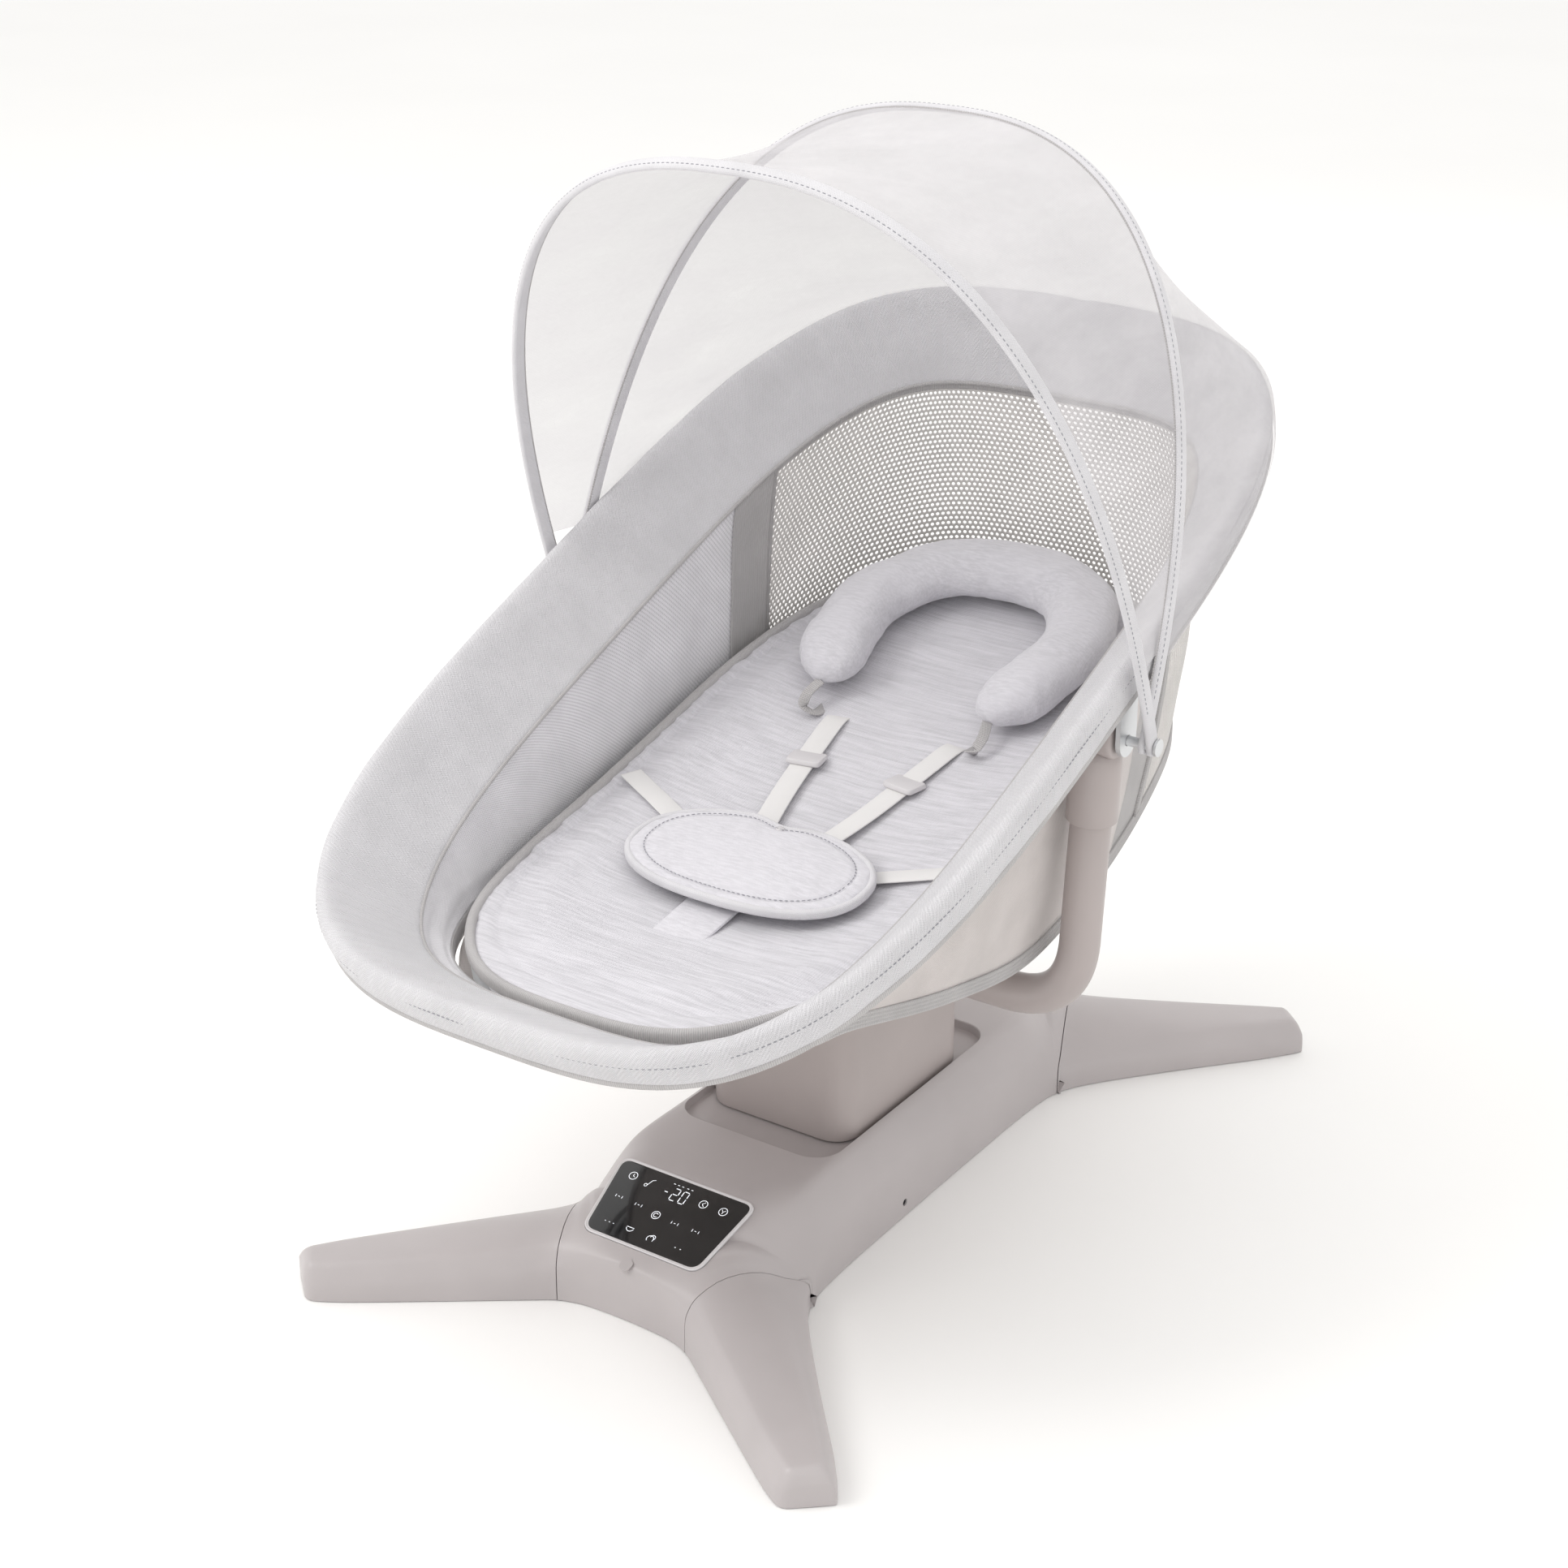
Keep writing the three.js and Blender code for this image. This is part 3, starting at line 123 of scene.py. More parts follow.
class SwingColours(bpy.types.PropertyGroup):
    """Colours of the finishes."""

    housing: colour("Housing", "Moulded plastic of the base", (0.47, 0.436, 0.437))
    arm: colour("Arms", "Moulded plastic of the yoke", (0.43, 0.382, 0.372))
    rim: colour("Rim fabric", "Woven fabric of the padded rim", (0.70, 0.69, 0.712))
    wall: colour("Wall fabric", "Plain fabric of the seat's sides", (0.625, 0.58, 0.565))
    mesh: colour("Mesh", "Mesh of the head panel", (0.71, 0.685, 0.665))
    binding: colour("Binding", "Ribbed edging and side tapes", (0.50, 0.485, 0.485))
    mat: colour("Mat fabric", "Heathered knit of the mat and pillow", (0.66, 0.648, 0.683))
    webbing: colour("Webbing", "Harness straps", (0.36, 0.342, 0.336))
    net: colour("Net", "Sheer net of the canopy", (0.67, 0.65, 0.67))
    thread: colour("Thread", "Sewing thread", (0.28, 0.28, 0.31))


def sizes():
    return bpy.context.scene.swing_sizes


def colours():
    return bpy.context.scene.swing_colours


# ---- Shape maths ------------------------------------------------------------------------------------
def catmull(points, steps, closed=False):
    """Smooth curve through a list of points, or of rows of points, with a number of steps between each two."""
    points = np.asarray(points, float)
    count = len(points)
    result = []
    for i in range(count if closed else count - 1):
        pick = (lambda k: points[k % count]) if closed else (lambda k: points[min(max(k, 0), count - 1)])
        before, start, end, after = pick(i - 1), pick(i), pick(i + 1), pick(i + 2)
        for k in range(steps):
            t = k / steps
            result.append(0.5 * (2 * start + (end - before) * t
                                 + (2 * before - 5 * start + 4 * end - after) * t * t
                                 + (3 * start - before - 3 * end + after) * t ** 3))
    if not closed:
        result.append(points[-1])
    return np.array(result)


HEM_CURVE = catmull(HEM_HEIGHTS, 12)
MAT_CURVE = catmull(MAT_HEIGHTS, 12)


def hem_height(y):
    return np.interp(y, HEM_CURVE[:, 0], HEM_CURVE[:, 1])


def oblong(half_x, half_y, power, angle):
    """A point of a rounded oblong at a polar angle, with its outward direction."""
    c, s = math.cos(angle), math.sin(angle)
    reach = (abs(c / half_x) ** power + abs(s / half_y) ** power) ** (-1 / power)
    x, y = reach * c, reach * s
    out = Vector((math.copysign(abs(x / half_x) ** (power - 1) / half_x, x),
                  math.copysign(abs(y / half_y) ** (power - 1) / half_y, y)))
    return x, y, out.normalized()


def seat_point(x, along, above):
    """A point given across, along and square to the rim's plane."""
    return (x, along * math.cos(SEAT_TILT) - above * math.sin(SEAT_TILT),
            RIM_HEIGHT + along * math.sin(SEAT_TILT) + above * math.cos(SEAT_TILT))


def rim_point(angle, inset, above):
    """A point of the rim at a polar angle, moved inwards and square to its plane."""
    x, y, out = oblong(sizes().rim_half_width, sizes().rim_half_length, RIM_POWER, angle)
    return seat_point(x - out.x * inset, RIM_CENTRE + y - out.y * inset, above)


def hem_point(angle, inset, rise):
    """A point of the seat's lower edge at a polar angle."""
    x, y, out = oblong(sizes().hem_half_width, sizes().hem_half_length, HEM_POWER, angle)
    place = HEM_CENTRE + y - out.y * inset
    return (x - out.x * inset, place, float(hem_height(place)) + rise)


def degrees_between(start, end, count):
    return [math.radians(start + (end - start) * i / count) for i in range(count + 1)]


def full_turn(count):
    return [2 * math.pi * i / count for i in range(count)]


def wobble(point, scale, amount):
    """Soft, repeatable unevenness."""
    return amount * noise.noise(Vector(point) * scale)


def groove(distance, width, depth):
    """Depth of a sewn groove at a distance from its middle."""
    return depth * math.exp(-(distance / width) ** 2)


# ---- Mesh helpers -----------------------------------------------------------------------------------
def new_object(name, mesh):
    piece = bpy.data.objects.new(name, mesh)
    bpy.context.scene.collection.objects.link(piece)
    return piece


def surface(name, grid, loop_rows=False, loop_columns=False, caps=False):
    """A skin through a grid of points, with a UV map in metres along its rows and columns."""
    grid = np.asarray(grid, float)
    rows, columns, _ = grid.shape
    around = np.vstack([grid, grid[:1]]) if loop_rows else grid
    across = np.concatenate([grid, grid[:, :1]], axis=1) if loop_columns else grid
    u = np.concatenate([[0], np.cumsum(np.linalg.norm(np.diff(around, axis=0), axis=2).mean(axis=1))])
    v = np.concatenate([[0], np.cumsum(np.linalg.norm(np.diff(across, axis=1), axis=2).mean(axis=0))])
    faces, corners = [], []
    for i in range(rows if loop_rows else rows - 1):
        for j in range(columns if loop_columns else columns - 1):
            i2, j2 = (i + 1) % rows, (j + 1) % columns
            faces.append((i * columns + j, i2 * columns + j, i2 * columns + j2, i * columns + j2))
            corners += [(u[i], v[j]), (u[i + 1], v[j]), (u[i + 1], v[j + 1]), (u[i], v[j + 1])]
    if caps:
        for row in (0, rows - 1):
            ring = [row * columns + j for j in range(columns)]
            faces.append(ring[::-1] if row else ring)
            flat = [(grid[row, j, 0], grid[row, j, 2]) for j in range(columns)]
            corners += flat[::-1] if row else flat
    mesh = bpy.data.meshes.new(name)
    mesh.from_pydata(grid.reshape(-1, 3).tolist(), [], faces)
    layer = mesh.uv_layers.new(name="UVMap")
    layer.data.foreach_set("uv", np.array(corners, np.float32).ravel())
    piece = new_object(name, mesh)
    tidy_mesh(piece)
    return piece


def tidy_mesh(piece, merge=1e-6):
    """Joins points that lie together, turns faces outwards and shades them smooth."""
    mesh = bmesh.new()
    mesh.from_mesh(piece.data)
    bmesh.ops.remove_doubles(mesh, verts=mesh.verts, dist=merge)
    bmesh.ops.dissolve_degenerate(mesh, edges=mesh.edges, dist=1e-7)
    bmesh.ops.recalc_face_normals(mesh, faces=mesh.faces)
    for face in mesh.faces:
        face.smooth = True
    mesh.to_mesh(piece.data)
    mesh.free()
    piece.data.update()


def apply_modifiers(piece):
    """Puts the result of a piece's modifiers in its mesh."""
    bpy.context.view_layer.update()
    graph = bpy.context.evaluated_depsgraph_get()
    mesh = bpy.data.meshes.new_from_object(piece.evaluated_get(graph))
    old = piece.data
    piece.modifiers.clear()
    piece.data = mesh
    bpy.data.meshes.remove(old)


def subdivide(piece, levels=1):
    modifier = piece.modifiers.new("smooth", "SUBSURF")
    modifier.levels = modifier.render_levels = levels
    apply_modifiers(piece)
    return piece


def thicken(piece, thickness, offset=-1.0):
    modifier = piece.modifiers.new("cloth thickness", "SOLIDIFY")
    modifier.thickness = thickness
    modifier.offset = offset
    apply_modifiers(piece)
    return piece


def bevel(piece, width, segments=2, angle=40):
    modifier = piece.modifiers.new("soft edges", "BEVEL")
    modifier.width = width
    modifier.segments = segments
    modifier.limit_method = "ANGLE"
    modifier.angle_limit = math.radians(angle)
    modifier.use_clamp_overlap = True
    apply_modifiers(piece)
    return piece


def cut(piece, tool, operation="DIFFERENCE"):
    """Boolean of a piece with a tool, which is then removed."""
    modifier = piece.modifiers.new("cut", "BOOLEAN")
    modifier.operation = operation
    modifier.solver = "EXACT"
    modifier.object = tool
    apply_modifiers(piece)
    bpy.data.objects.remove(tool)
    return piece


def smooth_by_angle(piece, angle=35):
    """Smooth shading that keeps edges sharper than an angle."""
    piece.data.shade_smooth()
    piece.data.set_sharp_from_angle(angle=math.radians(angle))
    return piece


def displace(piece, offset):
    """Moves each point along its normal by offset(point)."""
    normals = [vertex.normal.copy() for vertex in piece.data.vertices]
    for vertex, normal in zip(piece.data.vertices, normals):
        vertex.co += normal * offset(vertex.co)
    piece.data.update()


def joined(name, meshes):
    """One object from a list of (points, faces)."""
    points, faces = [], []
    for own_points, own_faces in meshes:
        start = len(points)
        points += own_points
        faces += [tuple(start + k for k in face) for face in own_faces]
    mesh = bpy.data.meshes.new(name)
    mesh.from_pydata(points, [], faces)
    piece = new_object(name, mesh)
    tidy_mesh(piece, 1e-7)
    return piece


def rounded_outline(half_x, half_y, radius, steps=8):
    """A rounded rectangle, counter-clockwise."""
    points = []
    for sx, sy, start in ((1, 1, 0), (-1, 1, 90), (-1, -1, 180), (1, -1, 270)):
        for angle in degrees_between(start, start + 90, steps):
            points.append((sx * (half_x - radius) + radius * math.cos(angle),
                           sy * (half_y - radius) + radius * math.sin(angle)))
    return points


def sweep(path, section, up=Vector((0, 0, 1)), closed=False):
    """Rings of a flat section carried along a path. The section's x lies across, its y upwards."""
    path = [Vector(p) for p in path]
    count = len(path)
    rings = []
    for i, centre in enumerate(path):
        before = path[(i - 1) % count] if closed or i else centre
        after = path[(i + 1) % count] if closed or i < count - 1 else centre
        along = (after - before).normalized()
        lift = up(i) if callable(up) else up
        across = along.cross(lift).normalized()
        top = across.cross(along).normalized()
        rings.append([tuple(centre + across * x + top * y) for x, y in section])
    return rings


def circle(radius, sides):
    return [(radius * math.cos(a), radius * math.sin(a)) for a in full_turn(sides)]


def rounded_bar(half_x, half_y, steps=4):
    """Section of a flat bar with round edges."""
    return rounded_outline(half_x, half_y, min(half_x, half_y) * 0.98, steps)


def lathe(name, profile, origin, axis, sides=64):
    """Turns a profile of (radius, place along the axis) about an axis through a point."""
    axis = Vector(axis).normalized()
    side = axis.orthogonal().normalized()
    other = axis.cross(side)
    rings = []
    for turn in full_turn(sides):
        out = side * math.cos(turn) + other * math.sin(turn)
        rings.append([tuple(Vector(origin) + axis * place + out * radius) for radius, place in profile])
    return surface(name, rings, loop_rows=True)


def stitches(name, path, normals, closed=False, rise=0.0003):
    """A row of sewn stitches along a path: short rounded threads, each lying on the cloth."""
    step, size = sizes().stitch_length * 1.45, sizes().stitch_length
    path = [Vector(p) for p in path] + ([Vector(path[0])] if closed else [])
    normals = [Vector(n) for n in normals] + ([Vector(normals[0])] if closed else [])
    reach = np.concatenate([[0], np.cumsum([(b - a).length for a, b in zip(path, path[1:])])])
    meshes = []
    for k in range(int(reach[-1] / step)):
        place = (k + 0.5) * step
        i = min(int(np.searchsorted(reach, place)), len(path) - 1)
        t = (place - reach[i - 1]) / max(reach[i] - reach[i - 1], 1e-9)
        centre = path[i - 1].lerp(path[i], t)
        along = (path[i] - path[i - 1]).normalized()
        up = normals[i - 1].lerp(normals[i], t).normalized()
        across = along.cross(up).normalized()
        points, faces = [], []
        for end, width in ((-0.5, 0.35), (-0.28, 1.0), (0.28, 1.0), (0.5, 0.35)):
            for a in full_turn(6):
                swell = across * math.cos(a) * 0.00042 + up * math.sin(a) * 0.00036
                points.append(tuple(centre + along * end * size + swell * width + up * rise * width))
        for ring in range(3):
            for a in range(6):
                b = (a + 1) % 6
                faces.append((ring * 6 + a, ring * 6 + b, ring * 6 + 6 + b, ring * 6 + 6 + a))
        faces += [tuple(range(5, -1, -1)), tuple(range(18, 24))]
        meshes.append((points, faces))
    piece = joined(name, meshes)
    piece.data.materials.append(finish("thread"))
    return piece


def ring_normals(grid, column):
    """Outward directions of a skin's grid along one of its columns."""
    rows = len(grid)
    grid = np.asarray(grid, float)
    result = []
    for i in range(rows):
        along = grid[(i + 1) % rows, column] - grid[i - 1, column]
        across = grid[i, column + 1] - grid[i, column - 1]
        result.append(Vector(np.cross(along, across)).normalized())
    return result


def inflate(piece, voxel, pressure, cap, held=None):
    """Fills a closed cloth shape with air for a moment, moving no point further than the cap."""
    remesh = piece.modifiers.new("even cloth", "REMESH")
    remesh.mode = "VOXEL"
    remesh.voxel_size = voxel
    remesh.use_smooth_shade = True
    apply_modifiers(piece)
    start = [v.co.copy() for v in piece.data.vertices]
    cloth = piece.modifiers.new("cloth", "CLOTH")
    cloth.settings.use_pressure = True
    cloth.settings.uniform_pressure_force = pressure
    cloth.settings.effector_weights.gravity = 0
    cloth.settings.quality = 4
    cloth.settings.mass = 0.3
    cloth.settings.tension_stiffness = 15
    cloth.settings.compression_stiffness = 15
    cloth.settings.bending_stiffness = 0.5
    cloth.collision_settings.use_collision = False
    if held:
        group = piece.vertex_groups.new(name="held")
        for vertex in piece.data.vertices:
            weight = held(vertex.co)
            if weight > 0:
                group.add([vertex.index], weight, "REPLACE")
        cloth.settings.vertex_group_mass = "held"
    for step in range(1, 21):
        bpy.context.scene.frame_set(step)
    graph = bpy.context.evaluated_depsgraph_get()
    moved = piece.evaluated_get(graph).data
    ends = [v.co.copy() for v in moved.vertices]
    piece.modifiers.clear()
    for vertex, old, new in zip(piece.data.vertices, start, ends):
        travel = new - old
        if travel.length > cap:
            travel *= cap / travel.length
        vertex.co = old + travel
    bpy.context.scene.frame_set(1)
    piece.vertex_groups.clear()
    piece.data.update()
    return subdivide(piece)


def put(piece, body, slot, material, *replaced):
    """Gives a piece its finish, its place on a body and the frame nodes that it stands for."""
    if material:
        piece.data.materials.clear()
        piece.data.materials.append(finish(material))
    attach(piece, body)
    if replaced:
        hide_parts(*replaced)
    return piece


# ---- Finishes ---------------------------------------------------------------------------------------
class Finish:
    """Builds one material's node tree."""

    def __init__(self, name):
        self.material = bpy.data.materials.new(name)
        self.material.use_nodes = True
        self.nodes = self.material.node_tree.nodes
        self.links = self.material.node_tree.links
        self.shader = self.nodes["Principled BSDF"]

    def node(self, kind, inputs=None, **settings):
        made = self.nodes.new(kind)
        for key, value in settings.items():
            setattr(made, key, value)
        for key, value in (inputs or {}).items():
            self.plug(made.inputs[key], value)
        return made

    def plug(self, socket, value):
        if isinstance(value, bpy.types.NodeSocket):
            self.links.new(value, socket)
        else:
            socket.default_value = value

    def sum(self, operation, a, b=0.0, c=0.0):
        return self.node("ShaderNodeMath", {0: a, 1: b, 2: c}, operation=operation).outputs[0]

    def uv(self):
        return self.node("ShaderNodeUVMap").outputs[0]

    def place(self):
        return self.node("ShaderNodeTexCoord").outputs["Object"]

    def split(self, vector):
        parts = self.node("ShaderNodeSeparateXYZ", {0: vector})
        return parts.outputs[0], parts.outputs[1], parts.outputs[2]

    def stretch(self, vector, scale):
        return self.node("ShaderNodeMapping", {"Vector": vector, "Scale": scale}).outputs[0]

    def noise(self, vector, scale, detail=4.0, roughness=0.55):
        made = self.node("ShaderNodeTexNoise", {"Vector": vector, "Scale": scale, "Detail": detail,
                                                "Roughness": roughness})
        return made.outputs["Fac"]

    def wave(self, value, pitch, phase=0.0):
        """A sine of a length, from 0 to 1 with the given pitch in metres."""
        turned = self.sum("MULTIPLY_ADD", value, 2 * math.pi / pitch, phase)
        return self.sum("MULTIPLY_ADD", self.sum("SINE", turned), 0.5, 0.5)

    def range(self, value, low, high, to_low=0.0, to_high=1.0):
        made = self.node("ShaderNodeMapRange", {"Value": value, "From Min": low, "From Max": high,
                                                "To Min": to_low, "To Max": to_high})
        return made.outputs[0]

    def blend(self, factor, a, b):
        made = self.node("ShaderNodeMix", data_type="RGBA")
        self.plug(made.inputs[0], factor)
        self.plug(made.inputs[6], a)
        self.plug(made.inputs[7], b)
        return made.outputs[2]

    def bump(self, height, distance, strength=1.0):
        made = self.node("ShaderNodeBump", {"Height": height, "Distance": distance, "Strength": strength})
        self.links.new(made.outputs[0], self.shader.inputs["Normal"])

    def set(self, **values):
        for key, value in values.items():
            self.plug(self.shader.inputs[key.replace("_", " ")], value)


def shade(tint, factor):
    """A colour made lighter or darker, with its alpha."""
    return (*(min(1.0, channel * factor) for channel in tint), 1.0)


def moulded(name, tint, roughness):
    """Satin moulded plastic: fine spark grain, faint cloudiness, slightly polished high spots."""
    look = Finish(name)
    place = look.place()
    cloud = look.noise(place, 9.0, 3.0)
    grain = look.noise(place, 2400.0, 2.0)
    scuff = look.noise(look.stretch(place, (60.0, 14.0, 60.0)), 4.0, 6.0)
    tone = look.blend(look.range(cloud, 0.35, 0.65), shade(tint, 0.965), shade(tint, 1.03))
    worn = look.range(scuff, 0.62, 0.78, 0.0, 0.35)
    look.set(Base_Color=look.blend(worn, tone, shade(tint, 1.05)))
    rough = look.sum("ADD", look.range(cloud, 0.3, 0.7, roughness - 0.03, roughness + 0.04),
                     look.range(grain, 0.3, 0.7, -0.02, 0.03))
    look.set(Roughness=rough, Specular_IOR_Level=0.45, Coat_Weight=0.06, Coat_Roughness=0.25)
    look.bump(grain, 0.00005, 0.35)
    return look.material


def gloss_panel(name, tint):
    """Smoked glass over a dark printed face, with faint dust and finger haze."""
    look = Finish(name)
    place = look.place()
    haze = look.noise(place, 38.0, 5.0)
    dust = look.noise(place, 1600.0, 1.0)
    look.set(Base_Color=look.blend(look.range(haze, 0.45, 0.75), shade(tint, 1.0), shade(tint, 1.9)))
    look.set(Roughness=look.range(haze, 0.35, 0.7, 0.06, 0.16), Specular_IOR_Level=0.5, Coat_Weight=0.6,
             Coat_Roughness=0.04)
    look.bump(dust, 0.00002, 0.2)
    return look.material


def lit_marks(name):
    """Display marks that glow softly."""
    look = Finish(name)
    flicker = look.noise(look.place(), 420.0, 2.0)
    tone = look.blend(look.range(flicker, 0.3, 0.7), (0.72, 0.76, 0.82, 1.0), (0.95, 0.97, 1.0, 1.0))
    look.set(Base_Color=tone, Roughness=0.35, Emission_Color=tone, Emission_Strength=0.55)
    return look.material


def metal(name, tint, roughness):
    """Drawn or turned steel with fine lines and slight tarnish."""
    look = Finish(name)
    place = look.place()
    lines = look.noise(look.stretch(place, (30.0, 2200.0, 2200.0)), 1.0, 3.0)
    tarnish = look.noise(place, 45.0, 5.0)
    look.set(Base_Color=look.blend(look.range(tarnish, 0.4, 0.75), shade(tint, 1.0), shade(tint, 0.78)), Metallic=1.0)
    look.set(Roughness=look.range(lines, 0.3, 0.7, roughness - 0.05, roughness + 0.09))
    look.bump(lines, 0.00004, 0.3)
    return look.material


def rubbery(name, tint):
    """Soft rubber with a fine pebble."""
    look = Finish(name)
    place = look.place()
    pebble = look.node("ShaderNodeTexVoronoi", {"Vector": place, "Scale": 900.0}).outputs["Distance"]
    dust = look.noise(place, 60.0, 5.0)
    look.set(Base_Color=look.blend(look.range(dust, 0.45, 0.75), shade(tint, 1.0), shade(tint, 1.35)))
    look.set(Roughness=look.range(dust, 0.3, 0.7, 0.72, 0.9))
    look.bump(pebble, 0.00012, 0.5)
    return look.material


def circuit(name, tint):
    """Solder-masked board with printed tracks."""
    look = Finish(name)
    place = look.place()
    x, y, _ = look.split(place)
    tracks = look.sum("MAXIMUM", look.wave(x, 0.0042), look.wave(y, 0.0057))
    look.set(Base_Color=look.blend(look.range(tracks, 0.93, 0.97), shade(tint, 1.0), shade(tint, 1.9)))
    look.set(Roughness=look.range(look.noise(place, 90.0), 0.3, 0.7, 0.3, 0.45))
    look.bump(tracks, 0.00005, 0.6)
    return look.material


def cloth_base(look, tint, height, distance, variation=0.05, sheen=0.35):
    """Colour, roughness and bump that all woven finishes share, with painted shade darkening the low places of the
    weave.
    """
    mottle = look.noise(look.place(), 26.0, 5.0)
    tone = look.blend(look.range(mottle, 0.35, 0.65), shade(tint, 1 - variation), shade(tint, 1 + variation))
    # Painted shade: where the weave's height is low, the tone is blended towards a darker copy, standing in for shade
    # in its hollows.
    painted_pit_shade = look.range(height, 0.0, 0.55, 0.0, 1.0)
    look.set(Base_Color=look.blend(painted_pit_shade, look.blend(0.72, tone, shade(tint, 0.62)), tone))
    look.set(Roughness=look.range(mottle, 0.3, 0.7, 0.82, 0.95), Specular_IOR_Level=0.25, Sheen_Weight=sheen,
             Sheen_Roughness=0.45)
    look.bump(height, distance, 0.8)
    return look


def woven(name, tint, pitch=0.0016, distance=0.00035):
    """Plain canvas weave from crossing threads."""
    look = Finish(name)
    u, v, _ = look.split(look.uv())
    warp = look.sum("MULTIPLY", look.wave(u, pitch), look.wave(v, pitch * 2, 0.0))
    weft = look.sum("MULTIPLY", look.wave(u, pitch, math.pi), look.wave(v, pitch * 2, math.pi))
    slub = look.noise(look.stretch(look.uv(), (900.0, 60.0, 1.0)), 1.0, 3.0)
    height = look.sum("MULTIPLY_ADD", slub, 0.35, look.sum("ADD", warp, weft))
    return cloth_base(look, tint, height, distance).material


def herringbone(name, tint, pitch=0.0017, band=0.011, distance=0.0004):
    """Twill whose slope turns over at every band."""
    look = Finish(name)
    u, v, _ = look.split(look.uv())
    turned = look.sum("PINGPONG", u, band / 2)
    ribs = look.wave(look.sum("ADD", v, look.sum("MULTIPLY", turned, 1.1)), pitch)
    threads = look.wave(look.sum("SUBTRACT", u, look.sum("MULTIPLY", v, 0.4)), pitch * 0.62)
    height = look.sum("MULTIPLY_ADD", threads, 0.35, ribs)
    return cloth_base(look, tint, height, distance, 0.04).material


def ribbed(name, tint, pitch=0.0021, distance=0.0005, along_u=True):
    """Grosgrain tape: ribs crossed by fine threads."""
    look = Finish(name)
    u, v, _ = look.split(look.uv())
    first, second = (u, v) if along_u else (v, u)
    ribs = look.wave(first, pitch)
    threads = look.wave(second, pitch * 0.45)
    height = look.sum("MULTIPLY_ADD", threads, 0.3, ribs)
    return cloth_base(look, tint, height, distance, 0.05, 0.2).material


def heathered(name, tint):
    """Space-dyed knit: pale and dark yarns drawn out across the cloth, over fine stitches."""
    look = Finish(name)
    place = look.place()
    x, y, _ = look.split(place)
    streaks = look.noise(look.stretch(place, (16.0, 330.0, 160.0)), 1.0, 4.0, 0.65)
    fine = look.noise(look.stretch(place, (60.0, 900.0, 500.0)), 1.0, 2.0)
    knit = look.sum("MULTIPLY", look.wave(x, 0.0021), look.wave(y, 0.0015))
    mixed = look.blend(look.range(streaks, 0.36, 0.66), shade(tint, 0.84), shade(tint, 1.07))
    mixed = look.blend(look.range(fine, 0.45, 0.7, 0.0, 0.30), mixed, shade(tint, 1.15))
    look.set(Base_Color=mixed, Roughness=look.range(streaks, 0.3, 0.7, 0.86, 0.96), Specular_IOR_Level=0.2,
             Sheen_Weight=0.35, Sheen_Roughness=0.5)
    look.bump(look.sum("MULTIPLY_ADD", streaks, 0.4, knit), 0.00035, 0.7)
    return look.material


def jersey(name, tint):
    """Fine smooth knit with a faint melange."""
    look = Finish(name)
    place = look.place()
    x, y, z = look.split(place)
    stitch = look.sum("MULTIPLY", look.wave(x, 0.0013), look.wave(look.sum("ADD", y, z), 0.0011))
    melange = look.noise(look.stretch(place, (90.0, 420.0, 420.0)), 1.0, 4.0, 0.65)
    cloud = look.noise(place, 22.0, 3.0)
    mixed = look.blend(look.range(melange, 0.38, 0.64), shade(tint, 0.91), shade(tint, 1.07))
    look.set(Base_Color=look.blend(look.range(cloud, 0.4, 0.65, 0.0, 0.4), mixed, shade(tint, 1.06)))
    look.set(Roughness=look.range(cloud, 0.3, 0.7, 0.85, 0.96), Specular_IOR_Level=0.2, Sheen_Weight=0.4,
             Sheen_Roughness=0.5)
    look.bump(look.sum("MULTIPLY_ADD", melange, 0.4, stitch), 0.00025, 0.7)
    return look.material


def spacer_mesh(name, tint):
    """Fine knitted spacer mesh, whose small holes are darkened with painted shade."""
    look = Finish(name)
    u, v, _ = look.split(look.uv())
    a = look.wave(u, 0.0034)
    b = look.wave(v, 0.0026)
    cells = look.sum("MULTIPLY", a, b)
    other = look.sum("MULTIPLY", look.wave(u, 0.0034, math.pi), look.wave(v, 0.0026, math.pi))
    holes = look.range(look.sum("MAXIMUM", cells, other), 0.45, 0.8)
    # The holes are the low places, which cloth_base darkens with painted shade.
    height = look.sum("SUBTRACT", 1.0, holes)
    return cloth_base(look, tint, height, 0.0005, 0.05, 0.2).material


def sheer(name, tint, cover):
    """Sheer net: fine threads with air between them, denser where the cloth has gathered."""
    look = Finish(name)
    place = look.place()
    u, v, _ = look.split(look.uv())
    threads = look.sum("MAXIMUM", look.wave(u, 0.0011), look.wave(v, 0.0011))
    drift = look.noise(look.stretch(place, (14.0, 9.0, 30.0)), 1.0, 4.0)
    tone = look.blend(look.range(drift, 0.35, 0.65), shade(tint, 0.94), shade(tint, 1.06))
    look.set(Base_Color=tone, Roughness=look.range(drift, 0.3, 0.7, 0.7, 0.9), Specular_IOR_Level=0.2,
             Sheen_Weight=0.2)
    open_share = look.sum("MULTIPLY_ADD", threads, 0.12, look.range(drift, 0.3, 0.7, cover - 0.06, cover + 0.06))
    look.set(Alpha=open_share)
    look.bump(threads, 0.0001, 0.4)
    return look.material


def thread_finish(name, tint):
    """Twisted sewing thread, with painted shade in the grooves of its twist and painted highlight on the ridges."""
    look = Finish(name)
    x, y, z = look.split(look.place())
    twist = look.wave(look.sum("ADD", x, look.sum("ADD", y, z)), 0.0007)
    # Painted shade and highlight: the colour is darker where the twist's bump is low and lighter where it is high.
    look.set(Base_Color=look.blend(twist, shade(tint, 0.85), shade(tint, 1.2)), Roughness=0.7, Sheen_Weight=0.2)
    look.bump(twist, 0.0001, 0.5)
    return look.material


